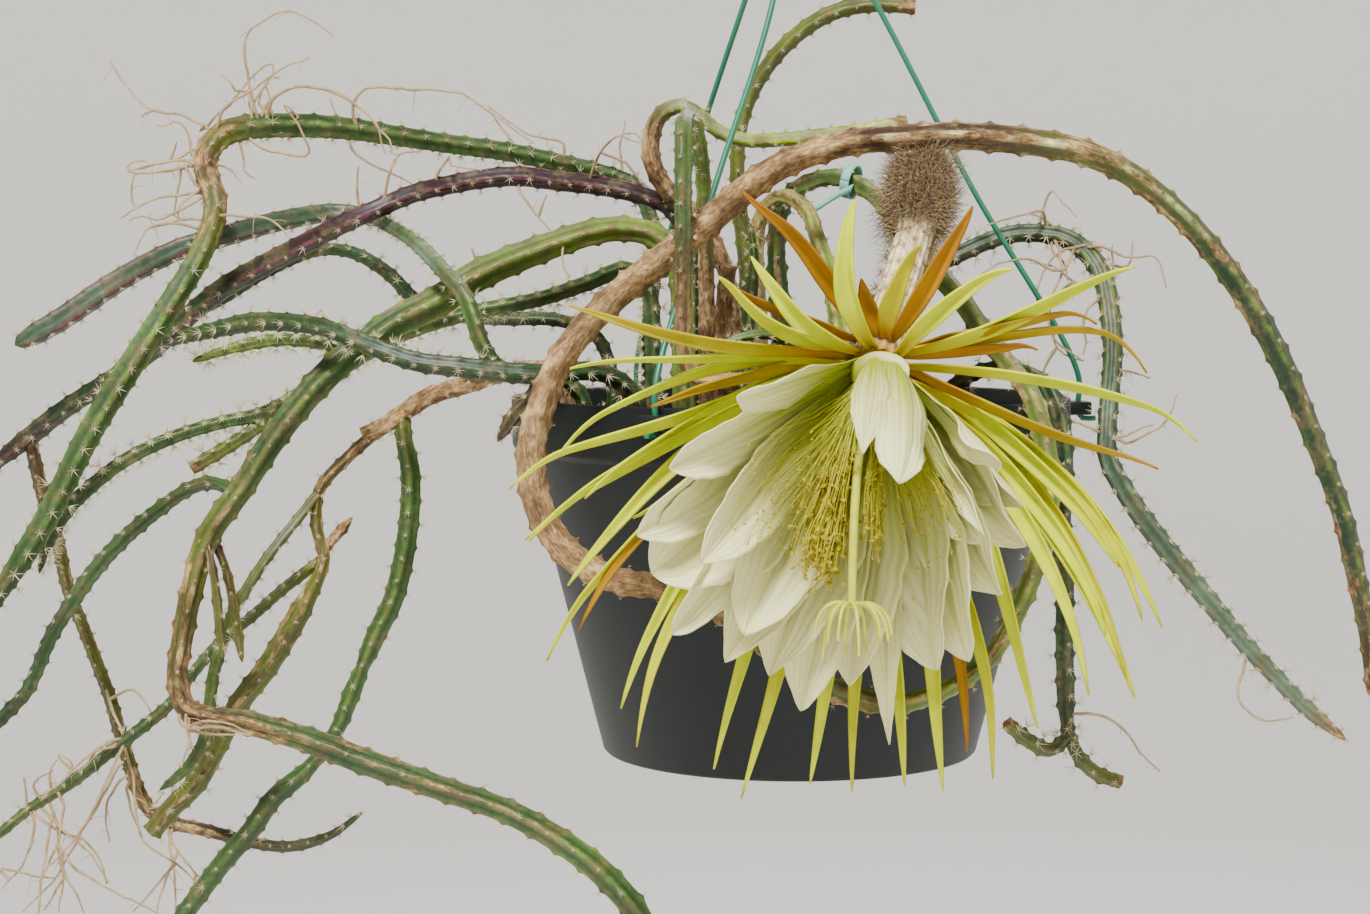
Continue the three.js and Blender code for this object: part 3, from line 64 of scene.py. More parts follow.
# Stems, one row a cane. The root is where it stands in the soil, right and back, and its route runs on from
# there to the tip, which is cut or grows. Girth pairs are share of the length and radius over the ribs. Skin
# stops are share of the length, tone of the skin, tone of the ribs' edges and how corky it is.
CANES = [
    {"node": "stem_arch", "root": (-64, 38),
     "girth": [(0, 3.8), (0.25, 3.9), (0.45, 5.2), (0.55, 5.6), (0.93, 5.4), (1, 2.4)],
     "skin": [(0, "deep", "bark", 0.2), (0.25, "leaf", "leaf", 0.1), (0.54, "leaf", "fresh", 0.15),
      (0.57, "olive", "bark", 0.42), (0.6, "bark", "bark", 0.52), (0.65, "olive", "bark", 0.45),
      (0.69, "leaf", "fresh", 0.15), (0.76, "leaf", "fresh", 0.1), (1, "leaf", "leaf", 0)],
     "route": [(-64, 41, 30), (-62, 44, 72), (-70, 45, 94), (-87, 43, 101), (-105, 38, 105), (-130, 32, 110),
      (-154, 24, 113), (-176, 16, 116), (-198, 8, 119), (-219, 0, 120), (-240, -8, 119), (-252, -13, 115),
      (-258, -18, 106), (-257, -22, 97), (-253, -26, 86), (-254, -29, 75), (-260, -33, 60), (-271, -38, 41),
      (-287, -44, 15), (-304, -50, -14), (-320, -56, -47), (-332, -60, -68), (-343, -62, -85),
      (-351, -64, -100)]},
    {"node": "stem_purple", "root": (-44, 20),
     "girth": [(0, 3.8), (0.15, 4.2), (0.7, 4.6), (0.94, 4.3), (1, 1.6)],
     "skin": [(0, "deep", "bark", 0.3), (0.2, "deep", "plum", 0), (0.3, "wine", "plum", 0),
      (0.6, "wine", "plum", 0), (0.72, "deep", "plum", 0), (0.8, "leaf", "plum", 0),
      (0.88, "deep", "wine", 0.1), (1, "wine", "plum", 0.1)],
     "route": [(-44, 20, 35), (-45, 17, 66), (-54, 13, 84), (-68, 12, 90), (-86, 12, 94), (-104, 10, 96),
      (-121, 8, 98), (-137, 6, 97), (-153, 2, 94), (-168, -5, 90), (-184, -10, 83), (-202, -9, 75),
      (-220, -5, 66), (-238, -1, 57), (-256, 2, 47), (-272, 4, 34), (-288, 4, 19), (-309, 4, 5),
      (-329, 4, -8), (-343, 4, -19), (-357, 4, -30), (-368, 4, -40)]},
    {"node": "stem_purple", "girth": [(0, 3), (0.6, 3.1), (0.9, 2.6), (1, 1)],
     "skin": [(0, "bark", "wine", 0.3), (0.4, "olive", "bark", 0.4), (0.7, "bark", "bark", 0.5),
      (1, "leaf", "bark", 0.1)],
     "route": [(-343, 4, -19), (-340, 4, -34), (-337, 5, -48), (-332, 6, -65), (-327, 6, -89),
      (-321, 6, -105), (-314, 6, -124), (-309, 6, -138), (-305, 6, -153), (-301, 6, -167), (-296, 4, -181),
      (-289, 2, -191), (-279, 0, -195), (-269, -4, -196), (-257, -8, -198), (-242, -12, -201),
      (-227, -16, -202), (-216, -18, -200), (-204, -20, -195), (-191, -22, -185)]},
    {"node": "stem_blue", "root": (-90, -34),
     "girth": [(0, 3.4), (0.3, 3.5), (0.5, 3.8), (0.7, 5), (0.9, 6), (0.97, 5.4), (1, 4.2)],
     "skin": [(0, "deep", "deep", 0), (0.3, "leaf", "fresh", 0), (0.38, "mist", "fresh", 0),
      (0.5, "leaf", "leaf", 0), (0.6, "sea", "sea", 0), (0.8, "sea", "plum", 0), (0.96, "sea", "plum", 0.1),
      (1, "sea", "bark", 0.3)],
     "route": [(-93, -35, 2), (-104, -39, 11), (-116, -48, 12), (-127, -60, 15), (-133, -67, 24),
      (-137, -66, 36), (-141, -62, 45), (-148, -56, 53), (-163, -36, 67), (-178, -4, 75), (-190, 16, 80),
      (-207, 20, 82), (-230, 9, 78), (-256, -7, 70), (-272, -12, 65), (-297, -14, 52), (-323, -20, 34),
      (-342, -24, 23)]},
    {"node": "stem_main", "root": (-48, -22),
     "girth": [(0, 4.6), (0.12, 5.2), (0.3, 6.6), (0.42, 6.4), (0.5, 5), (0.62, 4.6), (0.8, 5.4), (0.97, 5),
      (1, 2)],
     "skin": [(0, "leaf", "bark", 0.2), (0.12, "fresh", "bark", 0.1), (0.22, "fresh", "cork", 0.3),
      (0.36, "leaf", "fresh", 0.25), (0.48, "leaf", "olive", 0.25), (0.56, "olive", "cork", 0.42),
      (0.66, "bark", "cork", 0.52), (0.72, "leaf", "cork", 0.4), (0.85, "leaf", "cork", 0.3),
      (0.95, "leaf", "fresh", 0.15), (1, "leaf", "leaf", 0.1)],
     "route": [(-48, -22, 30), (-50, -20, 57), (-59, -18, 70), (-72, -18, 74), (-86, -20, 73),
      (-111, -24, 65), (-137, -30, 54), (-154, -36, 43), (-175, -43, 32), (-199, -54, 13), (-220, -62, -12),
      (-236, -68, -37), (-249, -72, -56), (-256, -75, -79), (-260, -77, -100), (-262, -78, -116),
      (-258, -79, -129), (-247, -80, -133), (-235, -82, -134), (-209, -87, -140), (-179, -93, -150),
      (-149, -100, -159), (-120, -106, -168), (-99, -110, -179), (-82, -114, -191), (-66, -118, -208),
      (-57, -120, -222)]},
    {"node": "stem_main", "girth": [(0, 3), (0.5, 3.6), (0.93, 3.2), (1, 1.2)],
     "skin": [(0, "leaf", "bark", 0.2), (0.5, "leaf", "leaf", 0), (1, "deep", "leaf", 0)],
     "route": [(-238, -68, -38), (-250, -58, -35), (-261, -50, -38), (-276, -46, -48), (-293, -42, -62),
      (-307, -38, -77), (-317, -36, -91), (-326, -34, -105), (-332, -34, -119), (-337, -34, -129),
      (-348, -36, -141), (-356, -36, -151)]},
    {"node": "stem_main", "girth": [(0, 1.8), (0.8, 2.2), (1, 1)],
     "skin": [(0, "bark", "wine", 0.4), (1, "olive", "bark", 0.2)],
     "route": [(-250, -74, -58), (-246, -79, -72), (-244, -81, -87), (-242, -83, -107)]},
    {"node": "stem_main", "girth": [(0, 1.8), (0.8, 2.2), (1, 1)],
     "skin": [(0, "bark", "wine", 0.4), (1, "olive", "bark", 0.2)],
     "route": [(-248, -70, -56), (-242, -69, -73), (-239, -69, -90), (-236, -69, -111)]},
    {"node": "stem_dark", "root": (-66, -62), "girth": [(0, 3.8), (0.3, 4.4), (0.8, 4.2), (1, 2)],
     "skin": [(0, "deep", "deep", 0.1), (0.5, "deep", "leaf", 0), (1, "leaf", "leaf", 0)],
     "route": [(-69, -64, 3), (-80, -70, 12), (-93, -78, 14), (-108, -85, 13), (-124, -87, 14),
      (-141, -88, 16), (-158, -87, 18), (-174, -85, 23), (-187, -80, 28), (-199, -74, 32), (-215, -66, 34),
      (-231, -58, 34), (-247, -48, 31), (-265, -36, 27), (-279, -22, 23)]},
    {"node": "stem_dark", "girth": [(0, 2.6), (0.7, 3.2), (1, 1.6)],
     "skin": [(0, "deep", "bark", 0.1), (1, "bark", "cork", 0.3)],
     "route": [(-104, -84, 13), (-111, -85, 4), (-119, -83, -5), (-126, -80, -16)]},
    {"node": "stem_lower", "root": (-80, 22), "girth": [(0, 3), (0.5, 3.2), (0.95, 3), (1, 1.2)],
     "skin": [(0, "deep", "deep", 0), (1, "leaf", "deep", 0)],
     "route": [(-81, 22, 10), (-88, 22, 26), (-104, 22, 33), (-132, 22, 34), (-154, 20, 36), (-170, 14, 43),
      (-181, 14, 54), (-199, 22, 64), (-215, 26, 65), (-239, 24, 55), (-259, 24, 43), (-277, 25, 34),
      (-288, 27, 26)]},
    {"node": "stem_hairy", "root": (-62, 2),
     "girth": [(0, 3.6), (0.4, 3.8), (0.7, 3.3), (0.95, 3.2), (1, 1.2)],
     "skin": [(0, "deep", "deep", 0), (0.3, "leaf", "fresh", 0), (0.8, "leaf", "leaf", 0),
      (1, "deep", "olive", 0.1)],
     "route": [(-62, 3, 22), (-64, 4, 46), (-73, 5, 56), (-91, 4, 50), (-112, 0, 43), (-142, -2, 37),
      (-174, -8, 27), (-205, -14, 9), (-233, -22, -7), (-251, -24, -11), (-271, -28, -17), (-292, -32, -27),
      (-305, -36, -37), (-317, -38, -49), (-326, -38, -64), (-329, -40, -76)]},
    {"node": "stem_hairy", "girth": [(0, 2.8), (0.7, 3.1), (1, 1.4)],
     "skin": [(0, "leaf", "leaf", 0), (1, "fresh", "leaf", 0)],
     "route": [(-187, -8, 20), (-201, -6, 21), (-213, -12, 24), (-228, -18, 25), (-245, -24, 22),
      (-263, -30, 16)]},
    {"node": "stem_hairy", "cut": True, "girth": [(0, 2.8), (0.6, 3.3), (1, 3.2)],
     "skin": [(0, "leaf", "leaf", 0), (0.9, "olive", "bark", 0.2), (1, "cork", "cork", 0.9)],
     "route": [(-214, -16, 5), (-234, -22, -12), (-249, -26, -22), (-264, -30, -31)]},
    {"node": "stem_woody", "cut": True, "root": (-98, -8),
     "girth": [(0, 3.8), (0.5, 4.2), (0.8, 4.8), (1, 4)],
     "skin": [(0, "bark", "cork", 0.8), (0.4, "cork", "cork_light", 0.9), (1, "bark", "cork", 0.8)],
     "route": [(-100, -10, 3), (-111, -15, 12), (-125, -20, 11), (-142, -26, 6), (-159, -30, 1),
      (-170, -34, -6), (-179, -34, -12), (-188, -34, -16)]},
    {"node": "stem_woody",
     "girth": [(0, 3.4), (0.1, 4.4), (0.4, 4.2), (0.44, 3), (0.48, 4.1), (0.6, 3), (0.66, 4.2), (0.95, 4),
      (1, 1.6)],
     "skin": [(0, "olive", "bark", 0.45), (0.06, "leaf", "olive", 0.15), (1, "leaf", "leaf", 0.1)],
     "route": [(-170, -34, -5), (-170, -36, -16), (-167, -38, -32), (-168, -40, -57), (-174, -42, -86),
      (-182, -44, -103), (-192, -46, -127), (-199, -48, -144), (-211, -50, -160), (-226, -52, -173),
      (-236, -52, -187), (-249, -52, -202), (-264, -52, -222), (-274, -52, -235)]},
    {"node": "stem_woody", "cut": True, "girth": [(0, 2.8), (0.35, 2.6), (0.45, 4.6), (0.85, 5), (1, 4.2)],
     "skin": [(0, "bark", "cork", 0.6), (0.4, "olive", "bark", 0.4), (1, "olive", "bark", 0.3)],
     "route": [(-179, -34, -12), (-194, -34, -25), (-207, -36, -40), (-208, -38, -56), (-205, -38, -70),
      (-213, -38, -88), (-230, -38, -117), (-243, -38, -134), (-253, -38, -153), (-263, -38, -170),
      (-273, -38, -180), (-282, -38, -191)]},
    {"node": "stem_woody", "girth": [(0, 2.4), (0.5, 2.9), (0.94, 2.6), (1, 1)],
     "skin": [(0, "olive", "bark", 0.3), (1, "leaf", "leaf", 0)],
     "route": [(-208, -37, -42), (-217, -46, -54), (-227, -52, -67), (-236, -56, -81), (-242, -58, -92),
      (-246, -60, -104), (-250, -60, -118), (-252, -60, -132), (-255, -60, -147), (-263, -60, -159),
      (-274, -60, -168)]},
    {"node": "stem_woody", "girth": [(0, 2.4), (0.5, 2.8), (0.95, 2.4), (1, 1)],
     "skin": [(0, "olive", "bark", 0.3), (0.4, "leaf", "leaf", 0), (1, "leaf", "fresh", 0)],
     "route": [(-207, -37, -71), (-224, -28, -84), (-239, -22, -97), (-256, -18, -111), (-268, -17, -125),
      (-277, -17, -137), (-290, -16, -148), (-302, -15, -157), (-322, -14, -173), (-341, -12, -185),
      (-356, -10, -197), (-365, -10, -203)]},
    {"node": "stem_woody", "girth": [(0, 2.2), (0.7, 2.4), (1, 1)],
     "skin": [(0, "bark", "cork", 0.6), (1, "cork", "cork", 0.8)],
     "route": [(-207, -37, -68), (-200, -34, -60), (-193, -32, -52)]},
    {"node": "stem_ring", "root": (-4, 18),
     "girth": [(0, 3.8), (0.1, 4.2), (0.2, 4.8), (0.36, 3.6), (0.45, 5.2), (0.56, 5.8), (0.7, 5.6),
      (0.95, 4.8), (1, 3)],
     "skin": [(0, "deep", "bark", 0.3), (0.1, "leaf", "fresh", 0.3), (0.22, "fresh", "straw", 0.4),
      (0.36, "fresh", "straw", 0.38), (0.41, "olive", "cork", 0.5), (0.46, "cork", "cork_light", 0.85),
      (0.65, "cork", "cork_light", 0.95), (0.69, "bark", "cream", 0.55), (0.73, "bark", "cream", 0.5),
      (0.78, "olive", "cream", 0.42), (0.83, "deep", "fresh", 0.35), (0.94, "deep", "olive", 0.3),
      (1, "bark", "olive", 0.4)],
     "route": [(-4, 17, 40), (-6, 12, 66), (-4, 4, 84), (4, -5, 93), (19, -12, 97), (35, -20, 90),
      (49, -30, 73), (61, -40, 56), (73, -50, 41), (82, -60, 26), (90, -75, 15), (96, -90, 5),
      (100, -104, -12), (101, -114, -32), (99, -120, -50), (92, -126, -70), (84, -129, -87), (76, -131, -99),
      (65, -134, -108), (52, -137, -114), (37, -140, -117), (20, -143, -114), (-2, -147, -103),
      (-25, -149, -84), (-49, -149, -70), (-73, -146, -67), (-93, -141, -57), (-105, -136, -40),
      (-109, -131, -17), (-104, -127, 4), (-96, -122, 22), (-82, -116, 39), (-66, -108, 53), (-47, -100, 68),
      (-33, -98, 80), (-17, -98, 93), (-3, -98, 101), (20, -98, 108), (41, -98, 110), (62, -96, 111),
      (83, -92, 110), (102, -88, 108), (117, -85, 105), (138, -80, 96), (165, -72, 75), (188, -65, 48),
      (207, -58, 18), (222, -52, -13), (237, -46, -48), (247, -40, -83), (252, -38, -106),
      (255, -36, -132)]},
    {"node": "stem_right", "root": (30, 26),
     "girth": [(0, 3.8), (0.2, 4.2), (0.5, 4.8), (0.8, 4.6), (0.96, 3.8), (1, 1.2)],
     "skin": [(0, "deep", "deep", 0), (0.3, "deep", "leaf", 0), (0.5, "leaf", "fresh", 0.05),
      (0.65, "sea", "mist", 0.05), (0.95, "mist", "mist", 0.05), (1, "cork", "cork", 0.6)],
     "route": [(31, 26, 20), (40, 27, 40), (55, 28, 52), (75, 28, 62), (99, 26, 72), (116, 24, 73),
      (128, 20, 70), (137, 16, 62), (142, 10, 51), (144, 4, 36), (144, -4, 18), (142, -10, 2),
      (140, -16, -13), (140, -20, -27), (148, -24, -43), (159, -26, -59), (170, -28, -73), (184, -30, -90),
      (199, -32, -108), (213, -34, -123), (227, -36, -137), (243, -38, -150)]},
    {"node": "stem_pale", "root": (-14, -22), "girth": [(0, 3), (0.4, 3.4), (0.9, 3.4), (1, 1.2)],
     "skin": [(0, "deep", "bark", 0.2), (0.3, "straw", "cork", 0.5), (0.6, "fresh", "straw", 0.42),
      (1, "fresh", "straw", 0.35)],
     "route": [(-14, -22, 30), (-16, -28, 62), (-14, -37, 80), (-6, -48, 88), (4, -58, 82), (9, -69, 68),
      (13, -80, 54), (15, -92, 39), (17, -106, 25), (18, -121, 16), (19, -134, 4), (20, -142, -18),
      (22, -144, -51)]},
    {"node": "stem_tail", "root": (62, -38), "girth": [(0, 3.4), (0.35, 3.8), (0.9, 4.2), (1, 2)],
     "skin": [(0, "deep", "deep", 0), (0.5, "deep", "leaf", 0), (1, "deep", "leaf", 0.1)],
     "route": [(66, -41, 2), (78, -50, 12), (92, -59, 14), (104, -68, 9), (111, -76, -7), (112, -80, -32),
      (111, -81, -54), (113, -80, -76), (113, -78, -95), (114, -76, -117), (115, -74, -133),
      (117, -72, -148)]},
    {"node": "stem_tail", "cut": True, "girth": [(0, 2.8), (0.6, 3.2), (1, 3)],
     "skin": [(0, "deep", "leaf", 0), (0.9, "olive", "bark", 0.2), (1, "cork", "cork", 0.9)],
     "route": [(116, -73, -142), (108, -77, -147), (99, -82, -143), (88, -86, -134)]},
    {"node": "stem_tail", "cut": True, "girth": [(0, 2.6), (0.6, 3.2), (1, 3)],
     "skin": [(0, "leaf", "leaf", 0), (0.9, "olive", "bark", 0.2), (1, "cork", "cork", 0.9)],
     "route": [(115, -73, -138), (120, -73, -150), (128, -72, -158), (139, -72, -162)]},
    {"node": "stem_cut", "cut": True, "root": (-18, 54), "girth": [(0, 3.2), (0.5, 3.6), (1, 3.4)],
     "skin": [(0, "deep", "olive", 0.1), (0.5, "olive", "olive", 0.1), (0.96, "olive", "bark", 0.3),
      (1, "cork", "cork", 0.9)],
     "route": [(-18, 54, 48), (-22, 50, 88), (-23, 46, 106), (-21, 43, 125), (-13, 40, 144), (1, 38, 161),
      (19, 36, 173), (37, 34, 177), (58, 32, 176)]},
    {"node": "stem_loop", "cut": True, "root": (-26, 2),
     "girth": [(0, 3.4), (0.4, 3.6), (0.55, 4), (0.7, 3.4), (1, 3)],
     "skin": [(0, "bark", "cork", 0.6), (0.55, "bark", "cork", 0.75), (0.68, "olive", "lime", 0.2),
      (0.96, "lime", "lime", 0.1), (1, "cork", "cork", 0.8)],
     "route": [(-26, 2, 38), (-33, 1, 66), (-47, -3, 84), (-57, -7, 94), (-62, -11, 105), (-62, -13, 115),
      (-58, -15, 124), (-50, -16, 128), (-41, -18, 124), (-33, -20, 117), (-22, -22, 113), (-5, -22, 113),
      (14, -22, 115), (31, -22, 117), (50, -22, 121)]},
    {"node": "stem_hairpin", "cut": True, "root": (-38, -48),
     "girth": [(0, 3.3), (0.5, 3.4), (0.9, 3.6), (1, 3.4)],
     "skin": [(0, "bark", "cork", 0.7), (0.25, "bark", "cork", 0.7), (0.33, "olive", "bark", 0.3),
      (0.38, "fresh", "fresh", 0), (0.7, "leaf", "bark", 0.15), (0.84, "cork", "bark", 0.7),
      (1, "cork", "cork_light", 0.9)],
     "route": [(-38, -48, 45), (-39, -48, 84), (-40, -52, 101), (-42, -61, 113), (-45, -74, 119),
      (-47, -90, 119), (-48, -104, 114), (-48, -112, 103), (-48, -114, 84), (-48, -114, 60), (-48, -114, 34),
      (-47, -113, 20), (-43, -113, 13), (-33, -112, 11), (-20, -111, 11), (-7, -109, 10)]},
    {"node": "shoot_upright", "root": (-22, -66), "girth": [(0, 2.6), (0.7, 2.8), (1, 1.2)],
     "skin": [(0, "deep", "leaf", 0), (1, "leaf", "fresh", 0)],
     "route": [(-21, -65, 22), (-19, -64, 46), (-18, -66, 62), (-20, -70, 76)]},
    {"node": "shoot_low", "root": (8, -74), "girth": [(0, 2.6), (0.7, 2.9), (1, 1.2)],
     "skin": [(0, "deep", "leaf", 0), (1, "fresh", "leaf", 0)],
     "route": [(7, -75, 8), (1, -78, 22), (-10, -82, 29), (-24, -85, 28), (-38, -86, 22)]},
    {"node": "stub_dead", "cut": True, "root": (-31, -20), "girth": [(0, 3.6), (0.6, 4.2), (1, 3.4)],
     "skin": [(0, "bark", "cork", 0.8), (1, "cork", "bark", 0.8)],
     "route": [(-31, -21, 16), (-30, -24, 42), (-28, -28, 58)]},
]

